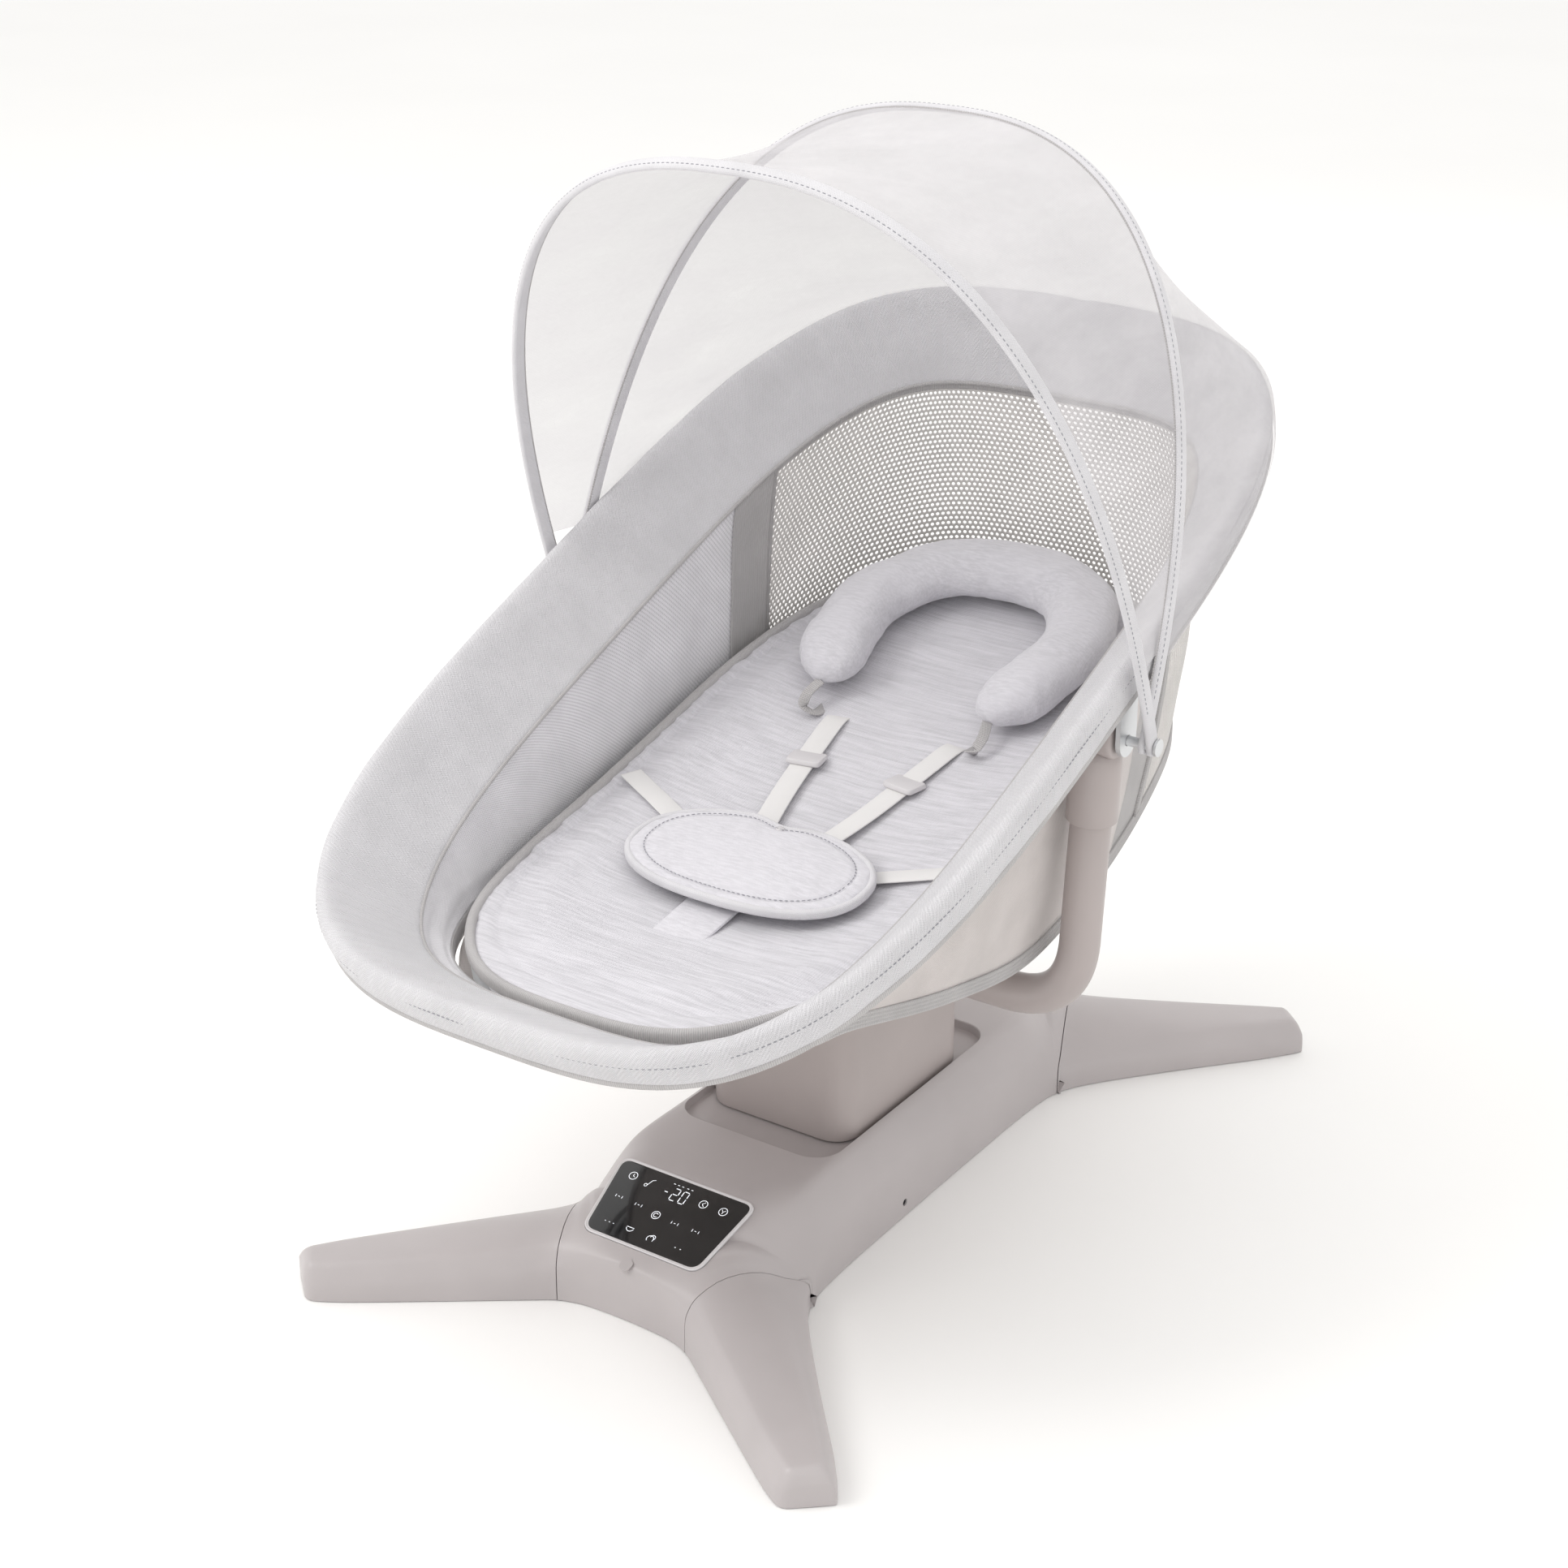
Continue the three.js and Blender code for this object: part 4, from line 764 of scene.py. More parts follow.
def finish(name):
    """The material of that name, made the first time it is asked for."""
    found = bpy.data.materials.get(name)
    if found:
        return found
    tints = colours()
    makers = {
        "housing": lambda: moulded(name, tints.housing, 0.40),
        "arm": lambda: moulded(name, tints.arm, 0.36),
        "trim": lambda: moulded(name, (0.66, 0.64, 0.65), 0.34),
        "black plastic": lambda: moulded(name, (0.03, 0.03, 0.033), 0.45),
        "acetal": lambda: moulded(name, (0.34, 0.35, 0.36), 0.38),
        "panel glass": lambda: gloss_panel(name, (0.0045, 0.0045, 0.005)),
        "lit marks": lambda: lit_marks(name),
        "steel": lambda: metal(name, (0.58, 0.59, 0.60), 0.30),
        "brass": lambda: metal(name, (0.55, 0.40, 0.16), 0.28),
        "rubber": lambda: rubbery(name, (0.16, 0.155, 0.16)),
        "board": lambda: circuit(name, (0.02, 0.14, 0.06)),
        "rim fabric": lambda: herringbone(name, tints.rim),
        "wall fabric": lambda: woven(name, tints.wall, 0.0014),
        "wall lining": lambda: spacer_mesh(name, shade(tints.rim, 1.2)[:3]),
        "mesh": lambda: woven(name, tints.mesh, 0.0009, 0.0002),
        "ribbed": lambda: ribbed(name, tints.binding),
        "edging": lambda: ribbed(name, shade(tints.binding, 1.1)[:3], 0.0016),
        "bow cover": lambda: woven(name, tints.rim, 0.0013),
        "mat knit": lambda: heathered(name, tints.mat),
        "pillow knit": lambda: jersey(name, tints.mat),
        "cover knit": lambda: jersey(name, shade(tints.mat, 1.05)[:3]),
        "webbing": lambda: ribbed(name, tints.webbing, 0.0016, 0.0004),
        "net": lambda: sheer(name, tints.net, 0.38),
        "thread": lambda: thread_finish(name, tints.thread),
    }
    return makers[name]()


# ---- Base -------------------------------------------------------------------------------------------
SEAM_INNER = Vector((0.0654, -0.2987))
SEAM_OUTER = Vector((0.1034, -0.2077))
SEAM_ALONG = (SEAM_OUTER - SEAM_INNER).normalized()
LEG_OUT = Vector((SEAM_ALONG.y, -SEAM_ALONG.x))
HEM_LIFT = 0.8

# One quarter of the base as cross-sections from its middle to a leg's tip, in millimetres: the section's two
# ends on plan, the heights of the near hem and ridge, three heights over the crown, the heights of the far
# ridge and hem, and how far each ridge lies inside its hem.
BODY_SECTIONS = (
    (0, 0, 100.7, 0, 85, 85, 85, 85, 85, 85, 53, 0, 22.7),
    (0, -110, 101.0, -105, 85, 85, 85, 85, 85, 85, 53, 0, 22.7),
    (0, -160, 101.8, -145, 85, 85, 85, 85, 85, 85, 52, 0, 22.7),
    (0, -190, 102.8, -166, 85, 85, 85, 85, 85, 83, 49, 0, 23),
    (0, -209, 104.0, -180, 85, 85, 85, 85, 84.5, 77, 43, 0, 23.5),
    (0, -232, 105.4, -189, 76, 76, 79, 82, 82, 68, 36, 0, 24),
    (0, -262, 107.0, -195.5, 64.3, 64.3, 69, 74, 76, 57, 30, 0, 24),
    (0, -294, 108.0, -199.3, 51.9, 51.9, 59, 66, 69, 46, 26.5, 0, 23),
)
LEG_SECTIONS = (
    (0, -297, 108.0, -199.3, 48.5, 51.9, 59, 66, 69, 46, 26.5, 3, 23),
    (22, -297.6, 108.3, -200.0, 47, 51.0, 58.5, 65, 66, 42, 25, 3.6, 23),
    (43, -299.5, 108.5, -200.8, 42, 49.0, 57.5, 61.5, 58, 37, 23.5, 6, 23),
    (62, -305.6, 108.8, -201.8, 32, 46.0, 55.5, 54.5, 48, 34, 22, 8, 22.6),
    (78.5, -316.5, 120.5, -223.0, 25, 43, 49.5, 49.5, 45, 34, 21, 8, 20),
    (112, -340.5, 147, -257.6, 21, 39.5, 43.2, 43.6, 41, 33.5, 19, 8, 15.5),
    (161, -375.5, 190, -308.5, 18, 35, 36.4, 36.6, 35.6, 32.4, 17, 8, 12),
    (198, -401.6, 229, -352.6, 15.8, 32, 32.4, 32.4, 32.2, 31.4, 15.4, 8, 10.5),
    (215, -412, 247, -375, 15, 31, 31.1, 31.1, 31.1, 31, 15, 8, 10),
    (221.5, -415.2, 252.6, -382.8, 15, 30.2, 30.3, 30.3, 30.3, 30.2, 15, 7.6, 9.2),
    (226.5, -415.8, 256.0, -388.4, 15, 26, 26.2, 26.4, 26.2, 26, 15, 6.4, 7),
    (231, -414.2, 257.4, -391.6, 15, 19, 19.2, 19.2, 19.2, 19, 15, 4.2, 4.2),
)
EDGE_ROUNDING = 3.2


def section_points(row):
    """Points across one section, with each of its four edges replaced by two points beside it."""
    ax, ay, bx, by, hem_a, ridge_a, c1, c2, c3, ridge_b, hem_b, inset_a, inset_b = row
    near, far = np.array([ax, ay]), np.array([bx, by])
    width = np.linalg.norm(far - near)
    floor_a = hem_a if inset_a == 0 else HEM_LIFT
    across = [0, 0, inset_a]
    across += [inset_a + (width - inset_a - inset_b) * f for f in (0.25, 0.5, 0.75)]
    across += [width - inset_b, width, width]
    heights = [floor_a, hem_a, ridge_a, c1, c2, c3, ridge_b, hem_b, HEM_LIFT]
    line = [np.array([d, z]) for d, z in zip(across, heights)]
    points = [line[0]]
    for k in range(1, 8):
        if k in (3, 4, 5):
            points.append(line[k])
            continue
        for other in (k - 1, k + 1):
            reach = line[other] - line[k]
            span = np.linalg.norm(reach)
            points.append(line[k] + reach * (min(EDGE_ROUNDING / span, 0.42) if span > 1e-6 else 0.0))
    points.append(line[8])
    result = []
    for d, z in points:
        x, y = near + (far - near) * d / width
        result.append((x * MM, y * MM, z * MM))
    return result


def base_top(y):
    return BASE_TOP - max(0.0, PANEL_TOP_Y - y) * math.tan(PANEL_TILT)


def base_quarter():
    """Skin of the front right quarter of the base, legs included."""
    body_rows = [section_points(row) for row in BODY_SECTIONS]
    leg_rows = [section_points(row) for row in LEG_SECTIONS]
    leg_rows[0][3:] = body_rows[-1][3:]
    body, leg = catmull(body_rows, 4), catmull(leg_rows, 4)
    for grid in (body, leg):
        for row in grid:
            for point in row:
                half = 0.062 + 0.1 * max(0.0, (point[1] + 0.285))
                if abs(point[0]) < min(half, 0.072) and -0.286 < point[1] and point[2] > 0.05:
                    point[2] = base_top(point[1])
    first = surface("quarter body", body)
    second = surface("quarter leg", leg)
    return first, second


def base_shell():
    """The whole upper skin of the base, mirrored from its quarter."""
    first, second = base_quarter()
    shell = bmesh.new()
    for part in (first, second):
        shell.from_mesh(part.data)
        bpy.data.objects.remove(part)
    bmesh.ops.remove_doubles(shell, verts=shell.verts, dist=2e-5)
    flat = [f for f in shell.faces if all(abs(v.co.x) < 1e-6 for v in f.verts)]
    bmesh.ops.delete(shell, geom=flat, context="FACES")
    tip = [e for e in shell.edges if e.is_boundary and all(v.co.x > 0.2295 and v.co.y < -0.3905 for v in e.verts)
           and max(v.co.z for v in e.verts) > HEM_LIFT * MM * 1.5]
    lowest = [v for v in {v for e in tip for v in e.verts} if v.co.z < HEM_LIFT * MM * 1.5]
    tip.append(shell.edges.get(lowest) or shell.edges.new(lowest))
    bmesh.ops.contextual_create(shell, geom=tip)
    for axis in ("X", "Y"):
        bmesh.ops.mirror(shell, geom=shell.verts[:] + shell.edges[:] + shell.faces[:], merge_dist=2e-5, axis=axis)
    bmesh.ops.remove_doubles(shell, verts=shell.verts, dist=2e-5)
    bmesh.ops.dissolve_degenerate(shell, edges=shell.edges, dist=1e-6)
    bmesh.ops.recalc_face_normals(shell, faces=shell.faces)
    mesh = bpy.data.meshes.new("base shell")
    shell.to_mesh(mesh)
    shell.free()
    piece = new_object("base shell", mesh)
    return subdivide(piece, 1)


def seam_cut(shell, sx, sy, keep_leg, gap):
    """Cuts a mesh at the seam of one quarter and closes the cut."""
    normal = Vector((LEG_OUT.x * sx, LEG_OUT.y * sy, 0))
    if keep_leg:
        normal.negate()
    point = Vector((SEAM_INNER.x * sx, SEAM_INNER.y * sy, 0)) - normal * gap
    geometry = shell.verts[:] + shell.edges[:] + shell.faces[:]
    made = bmesh.ops.bisect_plane(shell, geom=geometry, plane_co=point, plane_no=normal, clear_outer=True)
    edges = [e for e in made["geom_cut"] if isinstance(e, bmesh.types.BMEdge)]
    ends = [v for v in made["geom_cut"] if isinstance(v, bmesh.types.BMVert) and v.co.z < 0.0015]
    ends.sort(key=lambda v: (v.co.xy - Vector((0, 0))).length)
    if len(ends) >= 2:
        edges.append(shell.edges.new((ends[0], ends[-1])))
    bmesh.ops.contextual_create(shell, geom=edges)


def close_below(shell, lip, depth):
    """Closes the open underside with a face set in by a lip and raised by a depth."""
    bmesh.ops.recalc_face_normals(shell, faces=shell.faces)
    inwards = {}
    for edge in shell.edges:
        if edge.is_boundary:
            loop = edge.link_loops[0]
            run = loop.link_loop_next.vert.co - loop.vert.co
            for vertex in edge.verts:
                inwards.setdefault(vertex, []).append(Vector((run.y, -run.x, 0)))
    shifts = {v: sum(sides, Vector()).normalized() for v, sides in inwards.items()}
    middle = sum((v.co for v in shifts), Vector()) / len(shifts)
    sample = max(shifts, key=lambda v: (v.co - middle).length)
    sign = 1 if shifts[sample].dot(middle - sample.co) > 0 else -1
    rim = [e for e in shell.edges if e.is_boundary]
    for distance, rise in ((lip * sign, 0.0), (0.45 * depth * sign, depth)):
        made = bmesh.ops.extrude_edge_only(shell, edges=rim)
        moved = [v for v in made["geom"] if isinstance(v, bmesh.types.BMVert)]
        rim = [e for e in made["geom"] if isinstance(e, bmesh.types.BMEdge) and e.is_boundary]
        for vertex in moved:
            source = min(shifts, key=lambda v: (v.co - vertex.co).length_squared)
            vertex.co += shifts[source] * distance + Vector((0, 0, rise))
        if not rise:
            shifts = {v: shifts[min(shifts, key=lambda w: (w.co - v.co).length_squared)] for v in moved}
    bmesh.ops.contextual_create(shell, geom=rim)
    bmesh.ops.recalc_face_normals(shell, faces=shell.faces)


def base_piece(source, name, cuts, lip, depth):
    shell = bmesh.new()
    shell.from_mesh(source.data)
    for sx, sy, keep_leg in cuts:
        seam_cut(shell, sx, sy, keep_leg, 0.35 * MM)
    close_below(shell, lip, depth)
    for face in shell.faces:
        face.smooth = True
    mesh = bpy.data.meshes.new(name)
    shell.to_mesh(mesh)
    shell.free()
    return new_object(name, mesh)


def recess_tool():
    """Solid that cuts the recess for the tower, with a softened top edge."""
    rows = []
    for grow, z in ((-2.0, 76.8), (-0.6, 77.4), (0.0, 79.0), (0.0, 83.4), (0.5, 84.5), (1.6, 85.2), (1.6, 92)):
        outline = rounded_outline((74.5 + grow) * MM, (131 + grow) * MM, (24 + grow) * MM, 10)
        rows.append([(x, y, z * MM) for x, y in outline])
    return surface("recess tool", rows, loop_columns=True, caps=True)


def panel_outline(grow, radius, steps=8):
    """Outline of the control panel in its own plane, wider at the top."""
    half_top, half_low, half_long = 0.0635 + grow, 0.054 + grow, 0.0355 + grow
    corners = [Vector((-half_low, -half_long)), Vector((half_low, -half_long)), Vector((half_top, half_long)),
               Vector((-half_top, half_long))]
    points = []
    for i, corner in enumerate(corners):
        enter = corner + (corners[i - 1] - corner).normalized() * radius
        leave = corner + (corners[(i + 1) % 4] - corner).normalized() * radius
        for k in range(steps + 1):
            t = k / steps
            points.append(enter * (1 - t) ** 2 + corner * 2 * t * (1 - t) + leave * t * t)
    return points


def on_panel(x, y, lift):
    """A point of the panel's plane, raised square to it."""
    turn = Matrix.Rotation(PANEL_TILT, 3, "X")
    return turn @ Vector((x, y, lift)) + Vector((0, PANEL_CENTRE_Y, base_top(PANEL_CENTRE_Y)))


def panel_solid(name, levels):
    """A solid in the panel's plane through levels of (grow, corner radius, height)."""
    rows = [[tuple(on_panel(p.x, p.y, lift)) for p in panel_outline(grow, radius)] for grow, radius, lift in levels]
    return surface(name, rows, loop_columns=True, caps=True)


def build_base():
    shell = base_shell()
    quarters = {"front_right": (1, 1), "front_left": (-1, 1), "rear_right": (1, -1), "rear_left": (-1, -1)}
    body = base_piece(shell, "base_body", [(sx, sy, False) for sx, sy in quarters.values()], 3.4 * MM, 2.8 * MM)
    cut(body, recess_tool())
    cut(body, panel_solid("pocket tool", [(2.2 * MM, 0.011, -0.0020), (2.5 * MM, 0.011, -0.0004),
                                          (2.7 * MM, 0.011, 0.0004), (2.7 * MM, 0.011, 0.02)]))
    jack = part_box("power_jack")
    centre = Vector((jack[1].x, (jack[0].y + jack[1].y) / 2, (jack[0].z + jack[1].z) / 2))
    cut(body, lathe("jack tool", [(0, -0.016), (0.0032, -0.016), (0.0032, 0.012), (0, 0.012)], centre, (1, 0, 0), 24))
    smooth_by_angle(body, 32)
    put(body, "base", "housing_plastic", "housing", "base_housing")
    for name, (sx, sy) in quarters.items():
        leg = base_piece(shell, f"leg_{name}_shell", [(sx, sy, True)], 3.0 * MM, 11.4 * MM)
        smooth_by_angle(leg, 32)
        put(leg, "base", "housing_plastic", "housing", f"leg_{name}")
    bpy.data.objects.remove(shell)


# ---- Control panel ------------------------------------------------------------------------------------
SEGMENTS = {"top": (0, 2, 1), "middle": (0, 0, 1), "bottom": (0, -2, 1), "upper left": (-1, 1, 0),
            "upper right": (1, 1, 0), "lower left": (-1, -1, 0), "lower right": (1, -1, 0)}
DIGITS = {"2": ("top", "upper right", "middle", "lower left", "bottom"),
          "0": ("top", "upper left", "upper right", "lower left", "lower right", "bottom")}


def mark_stroke(points, width=0.00032):
    """A thin raised stroke along points of the panel."""
    path = [on_panel(x, y, 0.00035) for x, y in points]
    normal = on_panel(0, 0, 1) - on_panel(0, 0, 0)
    rings = sweep(path, [(-width, 0), (width, 0), (width * 0.7, 0.00012), (-width * 0.7, 0.00012)], normal)
    count = len(rings)
    faces = []
    for i in range(count - 1):
        for a in range(4):
            b = (a + 1) % 4
            faces.append((i * 4 + a, i * 4 + b, i * 4 + 4 + b, i * 4 + 4 + a))
    faces += [(3, 2, 1, 0), tuple((count - 1) * 4 + k for k in range(4))]
    return [p for ring in rings for p in ring], faces


def ring_mark(x, y, radius, start=0, end=360, count=28):
    turns = degrees_between(start, end, count)
    return mark_stroke([(x + radius * math.cos(a), y + radius * math.sin(a)) for a in turns])


def digit_marks(x, y, digit, width=0.0026, height=0.0029):
    marks = []
    for segment in DIGITS[digit]:
        sx, sy, flat = SEGMENTS[segment]
        cx, cy = x + sx * width, y + sy * height
        reach = width * 0.8 if flat else height * 0.8
        ends = [(cx - reach, cy), (cx + reach, cy)] if flat else [(cx, cy - reach), (cx, cy + reach)]
        marks.append(mark_stroke(ends, 0.00045))
    return marks


def build_panel():
    bezel = panel_solid("panel_frame", [(-0.2 * MM, 0.009, -0.0016), (2.1 * MM, 0.011, -0.0016), (2.1 * MM, 0.011, 0.0002),
                                        (1.7 * MM, 0.011, 0.0007), (0.7 * MM, 0.0095, 0.0007),
                                        (0.3 * MM, 0.009, 0.0003), (-0.2 * MM, 0.009, 0.0003)])
    put(bezel, "base", "pale_trim", "trim", "panel_bezel")
    glass = panel_solid("panel_window", [(-0.2 * MM, 0.009, -0.0016), (0.1 * MM, 0.009, -0.0002),
                                         (-0.2 * MM, 0.009, 0.0002), (-0.9 * MM, 0.0085, 0.0004)])
    smooth_by_angle(glass, 30)
    put(glass, "base", "panel_glass", "panel glass", "panel_glass")
    marks = []
    for x, digit in ((-0.003, "2"), (0.0055, "0")):
        marks += digit_marks(x, 0.020, digit)
    marks.append(mark_stroke([(-0.013, 0.020), (-0.010, 0.020)], 0.00045))
    for dx in (-0.010, -0.006, -0.002, 0.003, 0.007):
        marks.append(mark_stroke([(dx, 0.0292), (dx + 0.0018, 0.0292)]))
    for x, y in ((-0.046, 0.023), (0.024, 0.021), (0.043, 0.021), (-0.006, -0.003)):
        marks.append(ring_mark(x, y, 0.0036))
    marks.append(mark_stroke([(-0.046, 0.0252), (-0.046, 0.023), (-0.0444, 0.0222)]))
    marks.append(mark_stroke([(0.0252, 0.0232), (0.0230, 0.021), (0.0252, 0.0188)]))
    marks.append(mark_stroke([(0.0413, 0.0226), (0.043, 0.0206), (0.0447, 0.0226)]))
    marks.append(mark_stroke([(0.043, 0.0206), (0.043, 0.0188)]))
    marks.append(ring_mark(-0.006, -0.003, 0.0019, 40, 320, 18))
    marks.append(mark_stroke([(-0.030, 0.0195), (-0.028, 0.0250), (-0.0255, 0.0262)]))
    marks.append(ring_mark(-0.0313, 0.0192, 0.0013, count=14))
    for x, y in ((-0.045, 0.001), (-0.025, 0.000), (0.013, -0.004), (0.033, -0.004)):
        marks.append(mark_stroke([(x - 0.003, y - 0.0012), (x - 0.003, y + 0.0012)]))
        marks.append(mark_stroke([(x - 0.0008, y), (x + 0.0008, y)]))
        marks.append(mark_stroke([(x + 0.003, y - 0.0012), (x + 0.003, y + 0.0012)]))
    for x in (-0.042, -0.038, -0.034, 0.026, 0.031):
        marks.append(mark_stroke([(x, -0.0235), (x + 0.0012, -0.0235)]))
    marks.append(ring_mark(-0.018, -0.0215, 0.0034, 190, 350, 16))
    marks.append(mark_stroke([(-0.0215, -0.0212), (-0.0145, -0.0212)]))
    marks.append(ring_mark(0.003, -0.0245, 0.0030, -30, 230, 20))
    marks.append(ring_mark(0.0046, -0.0226, 0.0021, -60, 190, 14))
    lit = joined("panel_marks", marks)
    put(lit, "base", "panel_glass", "lit marks")


# ---- Tower and yoke -----------------------------------------------------------------------------------
def build_tower():
    low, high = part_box("turret_cover")
    half_x, half_y = high.x, high.y
    edge, radius = 0.014, 0.024
    levels = [(-0.0022, low.z), (-0.0004, low.z + 0.0002), (0.0, low.z + 0.0016)]
    levels += [(0.0, low.z + 0.04), (0.0, high.z - edge - 0.02), (0.0, high.z - edge)]
    for angle in degrees_between(15, 90, 6):
        levels.append((-edge * (1 - math.cos(angle)), high.z - edge + edge * math.sin(angle)))
    rows = []
    for grow, z in levels:
        outline = rounded_outline(half_x + grow, half_y + grow, max(radius + grow, 0.006), 10)
        rows.append([(x, y, z) for x, y in outline])
    tower = surface("tower_cover", rows, loop_columns=True, caps=True)
    yoke_low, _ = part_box("yoke_tube")
    axis = Vector((0, 0, yoke_low.z + 0.0162))
    reach = half_x + 0.02
    hole = [(0, -reach), (0.0170, -reach), (0.0170, reach), (0, reach)]
    cut(tower, lathe("yoke hole", hole, axis, (1, 0, 0), 48))
    smooth_by_angle(tower, 40)
    put(tower, "carriage", "housing_plastic", "arm", "turret_cover")
    for side, sign in (("right", 1), ("left", -1)):
        collar = [(0.0164, -0.004), (0.0169, -0.004), (0.0190, 0.0002), (0.0194, 0.0010), (0.0188, 0.0018),
                  (0.0170, 0.0020), (0.0164, 0.0014), (0.0164, -0.004)]
        ring = lathe(f"yoke_grommet_{side}", collar, axis + Vector((sign * half_x, 0, 0)), (sign, 0, 0), 64)
        put(ring, "carriage", "black_plastic", "rubber")


def yoke_line(steps=20):
    """Centre line of the yoke, from the left arm's top to the right arm's top, in millimetres."""
    low, half, bend, lean, top = 211.0, 225.6, 60.0, 0.041, 421.0
    tip = half + (top - low - bend) * lean
    right = [(half - bend, low)]
    for k in range(1, steps):
        t = k / steps
        start, mid, end = (np.array(p) for p in ((half - bend, low), (half - 1, low + 2), (half, low + bend + 6)))
        right.append(tuple(start * (1 - t) ** 2 + mid * 2 * t * (1 - t) + end * t * t))
    right += [(half, low + bend + 6), (half + 60 * lean, low + bend + 66), (tip, top)]
    left = [(-x, z) for x, z in reversed(right)]
    middle = [(x, low) for x in (-110.0, -60.0, 0.0, 60.0, 110.0)]
    return [Vector((x * MM, 0, z * MM)) for x, z in left + middle + right]


def build_yoke():
    rings = sweep(yoke_line(), circle(0.0162, 48), Vector((0, 1, 0)))
    tube = surface("yoke_arm_tube", rings, loop_columns=True, caps=True)
    smooth_by_angle(tube, 50)
    put(tube, "carriage", "arm_plastic", "arm", "yoke_tube")
    for side, sign in (("right", 1), ("left", -1)):
        lean = Vector((0.041 * sign, 0, 1)).normalized()
        foot = Vector((sign * 0.23, 0, 0.379))
        sleeve = lathe(f"hub_{side}", [(0.0166, 0.0), (0.0196, 0.0), (0.0202, 0.0008), (0.0202, 0.030), (0.0202, 0.047),
                                       (0.0196, 0.053), (0.0176, 0.0575), (0.0140, 0.0605), (0, 0.062),
                                       (0, 0.043), (0.0166, 0.043), (0.0166, 0.0)], foot, lean, 56)
        disc = [(0, -0.0152), (0.0150, -0.0152), (0.0166, -0.0142), (0.0170, -0.0128), (0.0170, 0.0125),
                (0.0165, 0.0146), (0.0150, 0.0158), (0, 0.0158)]
        middle = Vector((sign * 0.2345, 0, HUB.z))
        cut(sleeve, lathe("hub disc", disc, middle, (sign, 0, 0), 56), "UNION")
        pocket = [(0, 0), (0.0064, 0), (0.0064, 0.02), (0, 0.02)]
        cut(sleeve, lathe("button pocket", pocket, Vector((sign * 0.2311, 0.0174, 0.405)), (0, 1, 0), 32))
        bore = [(0, -0.03), (0.0044, -0.03), (0.0044, 0.03), (0, 0.03)]
        cut(sleeve, lathe("pin bore", bore, middle, (sign, 0, 0), 24))
        smooth_by_angle(sleeve, 40)
        put(sleeve, "carriage", "arm_plastic", "arm", f"hub_housing_{side}")
        button = lathe(f"recline_cap_{side}", [(0, 0), (0.0057, 0), (0.0060, 0.0004), (0.0060, 0.0020), (0.0055, 0.0026),
                                               (0.0030, 0.0029), (0, 0.0030)],
                       Vector((sign * 0.2311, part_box(f"recline_button_{side}")[0].y, 0.405)), (0, 1, 0), 40)
        put(button, f"recline_button_{side}", "pale_trim", "trim", f"recline_button_{side}")


# ---- Seat rim -----------------------------------------------------------------------------------------
# The rim's padded section: how far in from the rim's outline and how far above its plane, in millimetres.
RIM_SECTION = ((63.5, -59.5), (55, -50.5), (44, -38), (33, -25.5), (23, -13.5), (15, -4.6), (8.5, 0.2), (3.2, -0.6),
               (0.2, -4.6), (-0.9, -11), (-0.9, -18), (0, -25), (2.2, -29.6), (5, -28.8), (5.6, -23), (5.4, -15),
               (7.0, -8.2), (10.6, -7.8), (18, -15.5), (30, -29), (44, -44.5), (59, -60.5))
RIM_STEPS = 288
FOOT_SEAM = math.radians(-65.3)
SEAM_DEPTH = 1.5


def rim_lift(angle, index, count):
    """Sewn shape of the rim: soft filling, and grooves at its seams."""
    inner_edge = min(index, count - index) * 1.0
    x, y, _ = oblong(sizes().rim_half_width, sizes().rim_half_length, RIM_POWER, angle)
    reach = math.hypot(x, y)
    depth = 0.0
    for seam in (FOOT_SEAM, math.pi - FOOT_SEAM, math.pi / 2):
        away = abs((angle - seam + math.pi) % (2 * math.pi) - math.pi) * reach * 1000
        depth += groove(away, 2.6, SEAM_DEPTH) - groove(away - 7, 5, 0.35)
    puff = 0.9 * noise.noise(Vector((x * 22, y * 22, index * 0.13)))
    puff += 0.35 * noise.noise(Vector((x * 75, y * 75, index * 0.5)))
    return (puff * min(1.0, inner_edge / 4) - depth) * MM


def rim_grid():
    section = catmull(RIM_SECTION, 3, closed=True)
    count = len(section)
    grid = []
    for angle in full_turn(RIM_STEPS):
        ring = []
        for k, (inset, above) in enumerate(section):
            before, after = section[k - 1], section[(k + 1) % count]
            along = (after - before) / np.linalg.norm(after - before)
            lift = rim_lift(angle, k, count) / MM
            ring.append(rim_point(angle, (inset + along[1] * lift) * MM, (above - along[0] * lift) * MM))
        grid.append(ring)
    return grid


